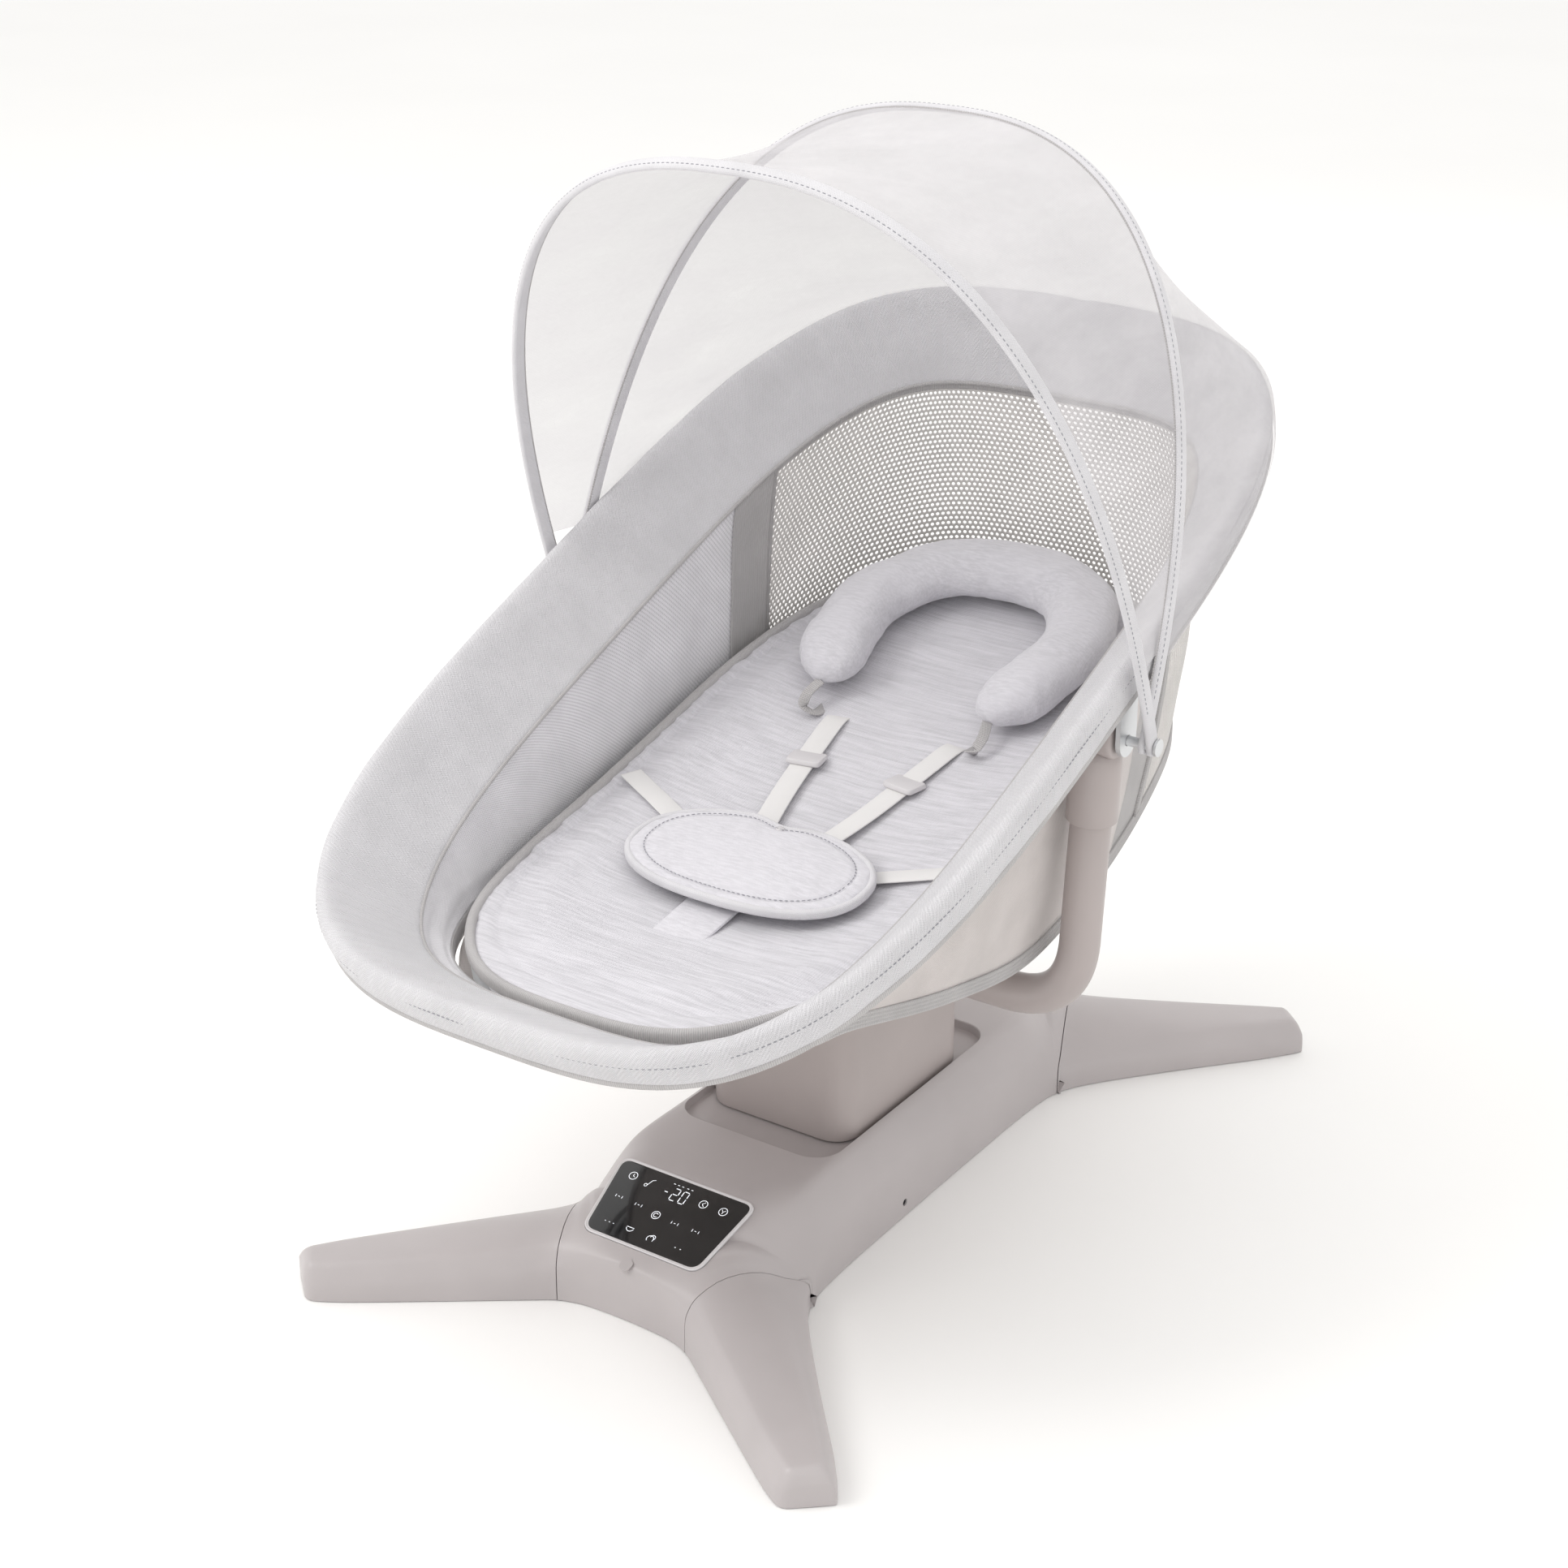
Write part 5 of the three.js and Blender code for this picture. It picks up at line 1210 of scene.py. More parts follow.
def build_rim():
    grid = rim_grid()
    rim = surface("rim_cushion", grid, loop_rows=True, loop_columns=True)
    subdivide(rim)
    rim.data.shade_smooth()
    put(rim, "seat", "rim_fabric", "rim fabric", "rim_pad")
    turns = full_turn(RIM_STEPS)
    crest = [rim_point(a, -0.35 * MM, -9.5 * MM) for a in turns]
    outward = [Vector(rim_point(a, -0.01, -0.0095)) - Vector(rim_point(a, 0.0, -0.0095)) for a in turns]
    put(stitches("rim_outer_stitching", crest, outward, closed=True), "seat", "rim_fabric", None)
    piping = []
    for angle in turns:
        middle = Vector(rim_point(angle, 0.0638, -0.0612))
        side = (Vector(rim_point(angle, 0.0738, -0.0612)) - middle).normalized()
        up = (Vector(rim_point(angle, 0.0638, -0.0512)) - middle).normalized()
        piping.append([tuple(middle + side * x + up * y) for x, y in circle(0.0017, 10)])
    cord = surface("rim_piping", piping, loop_rows=True, loop_columns=True)
    put(cord, "seat", "binding_fabric", "edging")
    lower = []
    for angle in turns:
        middle = Vector(rim_point(angle, 0.0018, -0.0296))
        side = (Vector(rim_point(angle, -0.01, -0.0296)) - middle).normalized()
        up = (Vector(rim_point(angle, 0.0018, -0.0196)) - middle).normalized()
        lower.append([tuple(middle + side * x + up * y) for x, y in rounded_bar(0.0016, 0.0030, 3)])
    edge = surface("rim_lower_edging", lower, loop_rows=True, loop_columns=True)
    put(edge, "seat", "binding_fabric", "edging")


# ---- Seat walls ---------------------------------------------------------------------------------------
def wall_line(angle, rows, outward=0.0, low=HEM_RISE):
    """Points down the wall at a polar angle, bowed slightly outwards and a little slack."""
    top = Vector(rim_point(angle, WALL_TOP[0] - outward, WALL_TOP[1] + 0.002))
    end = Vector(hem_point(angle, -outward, low))
    _, _, out = oblong(sizes().hem_half_width, sizes().hem_half_length, HEM_POWER, angle)
    line = []
    for k in range(rows + 1):
        f = k / rows
        bulge = 0.020 * f * (1 - f) * min(1.0, abs(top.z - end.z) / 0.12)
        slack = wobble((math.cos(angle) * 3, math.sin(angle) * 5, f * 2.2), 1.6, 0.0022) * math.sin(math.pi * f)
        point = top.lerp(end, f)
        push = bulge + slack
        line.append((point.x + out.x * push, point.y + out.y * push, point.z))
    return line


def wall_sheet(name, start, end, columns, rows=22, outward=0.0, low=HEM_RISE):
    return surface(name, [wall_line(a, rows, outward, low) for a in degrees_between(start, end, columns)])


def hole_mesh(name, start, end, thickness):
    """The head panel: a real open mesh of staggered six-sided holes over the wall's surface."""
    pitch = sizes().mesh_pitch
    fine = [np.array(wall_line(a, 60)) for a in degrees_between(start, end, 160)]
    fine = np.array(fine)
    width = np.linalg.norm(np.diff(fine[:, 30], axis=0), axis=1).sum()
    height = np.linalg.norm(np.diff(fine[80], axis=0), axis=1).sum()
    columns = int(width / pitch)
    rows = int(height / (pitch * 0.866))

    def at(u, v):
        a, b = min(max(u, 0), 1) * 160, min(max(v, 0), 1) * 60
        i, j = min(int(a), 159), min(int(b), 59)
        f, g = a - i, b - j
        low = fine[i, j] * (1 - f) + fine[i + 1, j] * f
        high = fine[i, j + 1] * (1 - f) + fine[i + 1, j + 1] * f
        return low * (1 - g) + high * g

    points, faces, index = [], [], {}

    def corner(u, v):
        key = (round(u * columns * 6), round(v * rows * 6))
        if key not in index:
            index[key] = len(points)
            points.append(tuple(at(u, v)))
        return index[key]

    for r in range(rows):
        for c in range(-1, columns + 1):
            cu, cv = (c + 0.5 + (r % 2) * 0.5) / columns, (r + 0.5) / rows
            if not -0.5 / columns < cu < 1 + 0.5 / columns:
                continue
            outer, inner = [], []
            for k in range(6):
                a = math.radians(60 * k + 30)
                outer.append(corner(cu + math.cos(a) * 0.57735 / columns, cv + math.sin(a) * 0.6667 / rows))
            for k in range(6):
                a = math.radians(60 * k + 30)
                inner.append(len(points))
                points.append(tuple(at(cu + math.cos(a) * 0.36 / columns, cv + math.sin(a) * 0.36 / rows)))
            for k in range(6):
                n = (k + 1) % 6
                faces.append((outer[k], outer[n], inner[n], inner[k]))
    faces = [face for face in faces if len(set(face)) == 4]
    mesh = bpy.data.meshes.new(name)
    mesh.from_pydata(points, [], faces)
    layer = mesh.uv_layers.new(name="UVMap")
    flat = np.array([points[mesh.loops[k].vertex_index] for k in range(len(mesh.loops))])
    layer.data.foreach_set("uv", np.column_stack([flat[:, 0] + flat[:, 1], flat[:, 2]]).astype(np.float32).ravel())
    piece = new_object(name, mesh)
    tidy_mesh(piece, 2e-5)
    thicken(piece, thickness, 0.0)
    return piece


def edge_tape(name, top_line, down_line, height, body="seat", look="edging", bump=0.0011):
    """A strip sewn along an edge, thickened into a raised band."""
    rings = []
    for top, low in zip(top_line, down_line):
        top, low = Vector(top), Vector(low)
        down = (low - top).normalized()
        rings.append([top + down * height * k / 6 for k in range(7)])
    strip = surface(name, [[tuple(p) for p in ring] for ring in rings])
    thicken(strip, bump, 0.0)
    return put(strip, body, "binding_fabric", look)


def build_walls():
    tape_in, tape_out = TAPE_ANGLES
    lower = wall_sheet("wall_side_fabric", 180 - tape_in, 360 + tape_in, 300)
    thicken(lower, 1.2 * MM, 0.0)
    put(lower, "seat", "wall_fabric", "wall fabric", "wall_lower_panel")
    lining = wall_sheet("wall_lining", 180 - tape_in + 0.2, 360 + tape_in - 0.2, 300, outward=-1.6 * MM)
    thicken(lining, 0.8 * MM, 0.0)
    put(lining, "seat", "mesh_fabric", "wall lining")
    head = hole_mesh("wall_head_mesh", tape_out, 180 - tape_out, 1.1 * MM)
    put(head, "seat", "mesh_fabric", "mesh", "wall_mesh_panel")
    for side, start, end in (("right", tape_in, tape_out), ("left", 180 - tape_out, 180 - tape_in)):
        tape = wall_sheet(f"wall_tape_{side}", start - 0.15, end + 0.15, 24, outward=0.6 * MM)
        thicken(tape, 4.2 * MM, -1.0)
        put(tape, "seat", "binding_fabric", "ribbed", f"side_tape_{side}")
    for side, angle in (("right", tape_out), ("left", 180 - tape_out)):
        step = 1.5 if side == "right" else -1.5
        first, second = (wall_line(math.radians(a), 40, 1.2 * MM) for a in (angle, angle + step))
        edge_tape(f"mesh_side_edging_{side}", first, second, 0.009, bump=0.0036)
    turns = degrees_between(tape_out, 180 - tape_out, 120)
    tops = [wall_line(a, 40, 0.6 * MM)[0] for a in turns]
    downs = [wall_line(a, 40, 0.6 * MM)[6] for a in turns]
    edge_tape("mesh_top_edging", tops, downs, 0.008, bump=0.0034)
    build_hem()


def build_hem():
    """Ribbed band around the seat's lower edge, and the cloth under the seat."""
    section = []
    ribs, height = 4, 0.0125
    for k in range(ribs * 6 + 1):
        f = k / (ribs * 6)
        swell = 0.00075 * abs(math.sin(math.pi * ribs * f))
        section.append((-0.0018 - swell, 0.0068 - height * f))
    section += [(0.0005, -0.0062), (0.0042, -0.0058), (0.0046, -0.002), (0.0030, 0.0060), (0.0002, 0.0068)]
    grid = [[hem_point(a, inset, rise) for inset, rise in section] for a in full_turn(300)]
    band = surface("hem_band", grid, loop_rows=True, loop_columns=True)
    put(band, "seat", "binding_fabric", "edging", "bottom_binding")
    rows = []
    low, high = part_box("seat_bottom")
    middle, half_long = (low.y + high.y) / 2, (high.y - low.y) / 2
    for k in range(61):
        y = middle - half_long * math.cos(math.pi * k / 60)
        f = min(abs((y - middle) / (half_long + 0.0005)), 0.99999)
        half = (sizes().hem_half_width - 0.0045) * (1 - f ** HEM_POWER) ** (1 / HEM_POWER)
        rows.append([(x, y, min(float(hem_height(y)) - 0.0035, mat_low(x, y) - 0.0095) + wobble((x, y, 0), 14, 0.0012))
                     for x in np.linspace(-half, half, 41)])
    under = surface("seat_under_cloth", rows)
    thicken(under, 1.6 * MM, 1.0)
    put(under, "seat", "wall_fabric", "wall fabric", "seat_bottom")


# ---- Mat and pillow -------------------------------------------------------------------------------------
MAT_FROM, MAT_TO, MAT_SAG, MAT_POWER = -0.362, 0.338, 0.020, 2.9


def mat_top(x, y):
    """Upper surface of the mat."""
    across = min(1.0, abs(x) / sizes().mat_half_width)
    middle, half = (MAT_FROM + MAT_TO) / 2, (MAT_TO - MAT_FROM) / 2
    along = max(0.0, 1 - abs((y - middle) / half) ** 4)
    return float(np.interp(y, MAT_CURVE[:, 0], MAT_CURVE[:, 1])) - MAT_SAG * (1 - across ** 2) * along


def mat_low(x, y):
    across = min(1.0, abs(x) / sizes().mat_half_width)
    return mat_top(x, y) - (0.010 + (sizes().mat_thickness - 0.010) * (1 - across ** 4))


def mat_share(x, y):
    """How far a place lies towards the mat's edge, from 0 in the middle to 1 on the edge."""
    middle, half = (MAT_FROM + MAT_TO) / 2, (MAT_TO - MAT_FROM) / 2
    return (abs(x / sizes().mat_half_width) ** MAT_POWER + abs((y - middle) / half) ** MAT_POWER) ** (1 / MAT_POWER)


def mat_edge(angle, share=1.0):
    middle, half = (MAT_FROM + MAT_TO) / 2, (MAT_TO - MAT_FROM) / 2
    x, y, out = oblong(sizes().mat_half_width * share, half * share, MAT_POWER, angle)
    return x, middle + y, out


def padded_form(name, outline, upper, lower, rings=10, around=96):
    """A closed pad over an outline given by outline(angle, share), with upper and lower heights."""
    rows = []
    shares = [max(0.02, math.sin(math.pi / 2 * k / rings)) for k in range(rings + 1)]
    for share in shares:
        rows.append([(*outline(a, share)[:2], upper(*outline(a, share)[:2], share)) for a in full_turn(around)])
    for share in reversed(shares[:-1]):
        rows.append([(*outline(a, share)[:2], lower(*outline(a, share)[:2], share)) for a in full_turn(around)])
    return surface(name, rows, loop_columns=True, caps=True)


def build_mat():
    def upper(x, y, share):
        return mat_top(x, y) - 0.0035 + 0.0010 * share ** 6

    def lower(x, y, share):
        return mat_low(x, y) + 0.0030 - 0.0025 * share ** 6

    mat = padded_form("seat_mat_pad", mat_edge, upper, lower, 14, 120)

    def held(place):
        share = mat_share(place.x, place.y)
        return 1.0 if share > 0.955 or abs(share - 0.90) < 0.012 else 0.0

    inflate(mat, 0.0056, 3.2, 0.0052, held)

    def sewn(place):
        share = mat_share(place.x, place.y)
        away = (share - 0.925) * sizes().mat_half_width * 1000
        soft = wobble(place, 26, 0.0011) + wobble(place, 60, 0.0004)
        return soft * (1 - share ** 6) - groove(away, 2.2, 0.0016)

    displace(mat, sewn)
    mat.data.shade_smooth()
    put(mat, "seat", "mat_fabric", "mat knit", "seat_mat")
    edge, up, stitched = [], [], []
    for angle in full_turn(240):
        x, y, out = mat_edge(angle)
        z = mat_top(x, y) - 0.0060
        edge.append([(x + out.x * (a - 0.0004), y + out.y * (a - 0.0004), z + b) for a, b in rounded_bar(0.0040, 0.0058, 4)])
        x2, y2, _ = mat_edge(angle, 0.925)
        stitched.append((x2, y2, mat_top(x2, y2) - 0.0016))
        up.append((0, 0, 1))
    binding = surface("mat_binding", edge, loop_rows=True, loop_columns=True)
    put(binding, "seat", "mat_fabric", "edging")
    rows = []
    low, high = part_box("seat_support")
    for k in range(41):
        y = MAT_FROM + 0.0005 + (MAT_TO - MAT_FROM - 0.001) * (0.5 - 0.5 * math.cos(math.pi * k / 40))
        middle, half_long = (MAT_FROM + MAT_TO) / 2, (MAT_TO - MAT_FROM) / 2
        f = min(abs((y - middle) / half_long), 0.99999)
        half = sizes().mat_half_width * (1 - f ** MAT_POWER) ** (1 / MAT_POWER)
        rows.append([(x, y, mat_low(x, y) - 0.0040) for x in np.linspace(-half, half, 31)])
    board = surface("seat_board", rows)
    thicken(board, 2.4 * MM, 0.0)
    put(board, "seat", "acetal", "acetal", "seat_support")


PILLOW_SPINE = ((-82, 96), (-99, 150), (-100, 215), (-64, 270), (0, 286), (64, 270), (100, 215), (99, 150), (82, 96))


def build_pillow():
    spine = catmull([(x * MM, y * MM, 0) for x, y in PILLOW_SPINE], 10)
    count = len(spine)
    rings = []
    for i, centre in enumerate(spine):
        before, after = spine[max(i - 1, 0)], spine[min(i + 1, count - 1)]
        along = Vector(after - before).normalized()
        across = Vector((-along.y, along.x, 0))
        end = min(i, count - 1 - i) / (count - 1)
        size = math.sqrt(min(1.0, (end + 0.004) / 0.085))
        base = mat_top(centre[0], centre[1])
        ring = []
        for a in full_turn(24):
            reach = 0.0315 * size * math.copysign(abs(math.cos(a)) ** 0.8, math.cos(a))
            x, y = centre[0] + across.x * reach, centre[1] + across.y * reach
            slope = max((mat_top(x, y) - base) * 0.9, -0.02)
            ring.append((x, y, base + slope + 0.0275 + 0.0205 * size * math.sin(a)))
        rings.append(ring)
    pillow = surface("head_cushion", rings, loop_columns=True, caps=True)
    inflate(pillow, 0.0045, 4.0, 0.0062)
    line = spine[:, :2]

    def sewn(place):
        away = np.abs(np.linalg.norm(line - np.array((place.x, place.y)), axis=1).min())
        side = groove((away - 0.0335) * 1000, 2.0, 0.0011)
        return wobble(place, 42, 0.0016) + wobble(place, 110, 0.0005) - side

    displace(pillow, sewn)
    pillow.data.shade_smooth()
    put(pillow, "seat", "mat_fabric", "pillow knit", "head_pillow")
    for side, sign in (("right", 1), ("left", -1)):
        x, y = sign * 0.0815, 0.092
        z = mat_top(x, y) + 0.020
        path = [Vector((x, y + 0.004, z + 0.004)), Vector((x + sign * 0.004, y - 0.010, z - 0.004)),
                Vector((x + sign * 0.002, y - 0.019, z - 0.012)), Vector((x - sign * 0.006, y - 0.012, z - 0.0185)),
                Vector((x - sign * 0.004, y + 0.006, z - 0.0185))]
        rings = sweep(catmull(path, 6), rounded_bar(0.0045, 0.0007, 2), Vector((0.3, 0, 1)))
        loop = surface(f"pillow_loop_{side}", rings, loop_columns=True, caps=True)
        put(loop, "seat", "mat_fabric", "edging")


# ---- Harness --------------------------------------------------------------------------------------------
BUCKLE_Y = -0.128


def cover_edge(angle, share=1.0):
    """Kidney outline of the buckle cover: a wide oval with a dip on its head side."""
    x, y, out = oblong(0.1055, 0.0585, 2.3, angle)
    dip = 0.010 * math.exp(-(x / 0.021) ** 2) * (1 if y > 0 else 0)
    return x * share, BUCKLE_Y + (y - dip) * share, out


def cover_lift(x, y):
    return 0.0215 - 0.013 * min(1.0, (x / 0.108) ** 2 + (y / 0.080) ** 2)


def cover_height(x, y):
    return mat_top(x, y) + cover_lift(x, y - BUCKLE_Y)


def build_cover():
    def upper(x, y, share):
        return cover_height(x, y) + 0.0088 - 0.0016 * share ** 10

    def lower(x, y, share):
        return cover_height(x, y) + 0.0022 - 0.0006 * share

    cover = padded_form("buckle_cushion", cover_edge, upper, lower, 10, 110)

    def share_of(place):
        angle = math.atan2(place.y - BUCKLE_Y, place.x)
        x, y, _ = cover_edge(angle)
        return math.hypot(place.x, place.y - BUCKLE_Y) / max(math.hypot(x, y - BUCKLE_Y), 1e-6)

    inflate(cover, 0.0034, 3.5, 0.0036, lambda place: 1.0 if share_of(place) > 0.93 else 0.0)

    def sewn(place):
        reach = math.hypot(place.x, place.y - BUCKLE_Y)
        away = reach * (1 - 0.865 / max(share_of(place), 1e-3)) * 1000
        return wobble(place, 60, 0.0007) - groove(away, 1.7, 0.0013)

    displace(cover, sewn)
    cover.data.shade_smooth()
    put(cover, "seat", "mat_fabric", "cover knit", "buckle_cover")
    ring, sewing, ups = [], [], []
    for angle in full_turn(200):
        x, y, out = cover_edge(angle)
        z = cover_height(x, y) + 0.0043
        ring.append([(x + out.x * a, y + out.y * a, z + b) for a, b in rounded_bar(0.0030, 0.0040, 4)])
        x2, y2, _ = cover_edge(angle, 0.865)
        sewing.append((x2, y2, cover_height(x2, y2) + 0.0082))
        ups.append((0, 0, 1))
    binding = surface("cover_binding", ring, loop_rows=True, loop_columns=True)
    put(binding, "seat", "mat_fabric", "bow cover")
    put(stitches("cover_stitching", sewing, ups, closed=True), "seat", "mat_fabric", None)
    x, y = 0.0, BUCKLE_Y + 0.0435
    snap = lathe("cover_snap", [(0, -0.001), (0.0034, -0.001), (0.0036, 0.0006), (0.0030, 0.0013), (0.0012, 0.0008),
                                (0, 0.0009)], (x, y, cover_height(x, y) + 0.0074), (0, 0, 1), 32)
    put(snap, "seat", "pale_trim", "trim")


def strap(name, stops, width, node, thickness=1.5 * MM, look="webbing", slot="webbing"):
    """A flat strap over the mat, through stops of (x, y, height above the mat)."""
    path = catmull([(x, y, mat_top(x, y) + h) for x, y, h in stops], 12)
    rings = []
    for i, centre in enumerate(path):
        along = Vector(path[min(i + 1, len(path) - 1)] - path[max(i - 1, 0)]).normalized()
        across = Vector((-along.y, along.x, 0)).normalized()
        up = across.cross(along)
        up = -up if up.z < 0 else up
        rings.append([tuple(Vector(centre) + across * x * 1.0 + up * (y + thickness / 2))
                      for x, y in rounded_bar(width / 2, thickness / 2, 2)])
    piece = surface(name, rings, loop_columns=True, caps=True)
    put(piece, "seat", slot, look, node)
    return piece, rings


def build_harness():
    width = sizes().webbing_width
    floor = mat_top(0, BUCKLE_Y)
    for side, sign in (("right", 1), ("left", -1)):
        lap = [(sign * 0.166, -0.060, 0.0015), (sign * 0.140, -0.070, 0.003), (sign * 0.120, -0.078, 0.004),
               (sign * 0.075, -0.100, 0.006), (sign * 0.034, BUCKLE_Y - 0.003, 0.0085)]
        strap(f"lap_webbing_{side}", lap, width, f"lap_strap_{side}")
        shoulder = [(sign * 0.058, 0.094, -0.002), (sign * 0.0565, 0.080, 0.0035), (sign * 0.052, 0.050, 0.0055),
                    (sign * 0.040, -0.020, 0.007), (sign * 0.026, -0.075, 0.008), (sign * 0.015, -0.103, 0.0095)]
        strap(f"shoulder_webbing_{side}", shoulder, width, f"shoulder_strap_{side}")
        x, y = sign * 0.0475, 0.024
        z = mat_top(x, y) + 0.0066
        slider = []
        for grow, height in ((0.0, -0.0012), (0.0008, 0.0), (0.0, 0.0034)):
            outline = rounded_outline(0.0145 + grow, 0.0105 + grow, 0.0035, 5)
            slider.append([(x + a + b * 0.17 * sign, y + b - a * 0.17 * sign, z + height) for a, b in outline])
        adjuster = surface(f"strap_adjuster_{side}", slider, loop_columns=True, caps=True)
        bevel(adjuster, 0.0008, 2)
        put(adjuster, "seat", "black_plastic", "trim")
    crotch = [(0, -0.224, -0.001), (0, -0.205, 0.0025), (0, -0.178, 0.0055), (0, BUCKLE_Y - 0.023, 0.008)]
    strap("crotch_panel", crotch, 0.046, "crotch_strap", 3.0 * MM, "cover knit", "mat_fabric")
    buckle_rows = []
    for grow, z in ((-2.0, 4.2), (0.0, 5.6), (0.6, 9.5), (0.0, 13.8), (-1.8, 15.8), (-4.0, 16.0)):
        outline = rounded_outline((27 + grow) * MM, (21 + grow) * MM, (8 + grow) * MM, 6)
        buckle_rows.append([(x, BUCKLE_Y + y, floor + z * MM) for x, y in outline])
    buckle = surface("buckle_shell", buckle_rows, loop_columns=True, caps=True)
    well = [[(x, BUCKLE_Y + y, floor + z * MM) for x, y in rounded_outline(9 * MM, 10 * MM, 2.6 * MM, 5)] for z in (11.4, 25)]
    cut(buckle, surface("buckle well", well, loop_columns=True, caps=True))
    smooth_by_angle(buckle, 40)
    put(buckle, "seat", "black_plastic", "black plastic", "harness_buckle")
    button_rows = []
    for grow, z in ((-0.5, 13.6), (0.0, 14.2), (0.0, 16.2), (-0.7, 17.0), (-2.5, 17.2)):
        outline = rounded_outline((8.5 + grow) * MM, (9.5 + grow) * MM, 2.3 * MM, 5)
        button_rows.append([(x, BUCKLE_Y + y, floor + z * MM) for x, y in outline])
    button = surface("buckle_press", button_rows, loop_columns=True, caps=True)
    smooth_by_angle(button, 40)
    put(button, "buckle_release", "rubber_foot", "rubber", "buckle_button")


# ---- Canopy -----------------------------------------------------------------------------------------------
BOWS = {"front": (0.2775, 0.448, -19.6), "rear": (0.2705, 0.443, 19.8)}


def bow_point(bow, turn, grow=0.0, shift=0.0):
    """A point of a bow: turn runs from 0 at the right hub to pi at the left hub."""
    half, reach, lean = BOWS[bow]
    lean = math.radians(lean)
    c, s = math.cos(turn), max(0.0, math.sin(turn))
    x = math.copysign(abs(c) ** (2 / BOW_POWER), c) * (half + grow)
    height = s ** (2 / BOW_POWER) * (reach + grow)
    return (x, height * math.sin(lean) + shift * math.cos(lean),
            HUB.z + height * math.cos(lean) - shift * math.sin(lean))


def bow_turns(count):
    """Turns along a bow, closer together at the hubs, where it runs straight down."""
    turns = []
    for i in range(count + 1):
        f = i / count
        eased = 0.5 - 0.5 * math.cos(math.pi * f)
        turns.append(math.pi * (0.55 * eased + 0.45 * f))
    return turns


BOW_SECTION = ((-2.2, -4.6), (-2.2, 0), (-2.1, 4.2), (-1.6, 6.0), (0.2, 6.5), (2.2, 5.6), (2.9, 3.4), (3.1, 0),
               (2.9, -3.4), (2.2, -5.6), (0.2, -6.5), (-1.6, -6.0))


def build_bow(bow, body, node):
    section = catmull(BOW_SECTION, 2, closed=True)
    scale = sizes().bow_width / 0.013
    turns = bow_turns(220)
    rings = []
    for turn in turns:
        rings.append([bow_point(bow, turn, a * MM, b * scale * MM) for a, b in section])
    half = BOWS[bow][0]
    for sign, rows in ((1, 0), (-1, -1)):
        ends = []
        for k, drop in enumerate((0.0068, 0.0060, 0.0035)):
            shrink = (0.45, 0.8, 0.97)[k]
            ends.append([(sign * (half + a * MM), b * shrink * scale * MM, HUB.z - drop) for a, b in section])
        rings = ends + rings if rows == 0 else rings + ends[::-1]
    cover = surface(f"bow_cover_{bow}", rings, loop_columns=True, caps=True)
    cover.data.shade_smooth()
    put(cover, body, "binding_fabric", "bow cover", node)
    inward = (Vector((0, 0, HUB.z)) - Vector(bow_point(bow, turn)) for turn in turns)
    lines = [bow_point(bow, turn, 2.45 * MM, -4.3 * scale * MM) for turn in turns]
    outward = [-v.normalized() for v in inward]
    put(stitches(f"bow_stitching_{bow}", lines[6:-6], outward[6:-6]), body, "binding_fabric", None)
    side = -1 if bow == "rear" else 1
    piping = []
    for turn in turns[3:-3]:
        centre = Vector(bow_point(bow, turn, -1.4 * MM, side * 6.3 * scale * MM))
        out = Vector(bow_point(bow, turn, 1.0, 0)) - Vector(bow_point(bow, turn, 0, 0))
        out.normalize()
        flat = (Vector(bow_point(bow, turn, 0, 1.0)) - Vector(bow_point(bow, turn, 0, 0))).normalized()
        piping.append([tuple(centre + out * x + flat * y) for x, y in circle(0.0008, 8)])
    cord = surface(f"bow_piping_{bow}", piping, loop_columns=True, caps=True)
    put(cord, body, "binding_fabric", "ribbed")


def net_rows(edge_a, edge_b, columns, rows, sag, start):
    """Sheet between two edges, drawn inwards between them as tight net is."""
    grid = []
    middle = Vector((0, 0, HUB.z + 0.06))
    for i in range(columns + 1):
        f = i / columns
        a, b = Vector(edge_a(f)), Vector(edge_b(f))
        line = []
        for k in range(rows + 1):
            g = k / rows
            point = a.lerp(b, g)
            inward = (middle - point).normalized()
            tension = 4 * g * (1 - g) * math.sin(math.pi * f)
            ripple = wobble(point, 9, 0.0022) * math.sin(math.pi * g)
            line.append(tuple(point + inward * (sag * tension + ripple)))
        grid.append(line)
    return grid


def build_nets():
    clear = sizes().bow_width / 2 - 0.0006
    start = 0.10

    def turn_at(f, first):
        return first + (math.pi - 2 * first) * f

    grid = net_rows(lambda f: bow_point("front", turn_at(f, start), -1.8 * MM, clear),
                    lambda f: bow_point("rear", turn_at(f, start), -1.2 * MM, -clear), 150, 34, 0.012, start)
    front = surface("canopy_net_front", grid)
    front.data.materials.append(finish("net"))
    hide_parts("canopy_front_net")
    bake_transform(front)

    def rim_edge(f):
        return rim_point(math.radians(13 + 154 * f), -3.4 * MM, -6 * MM)

    grid = net_rows(lambda f: bow_point("rear", turn_at(f, start), -1.4 * MM, clear), rim_edge, 170, 34, 0.010, start)
    for i, line in enumerate(grid):
        angle = math.radians(13 + 154 * i / 170)
        line += [rim_point(angle, inset * MM, above * MM) for inset, above in ((-3.4, -12), (-3.2, -19), (-2.6, -26), (-0.8, -31))]
    rear = surface("canopy_net_rear", grid)
    rear.data.materials.append(finish("net"))
    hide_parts("canopy_rear_net")
    rim_line = Vector(rim_point(math.pi / 2, 0, 0))
    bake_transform(rear)


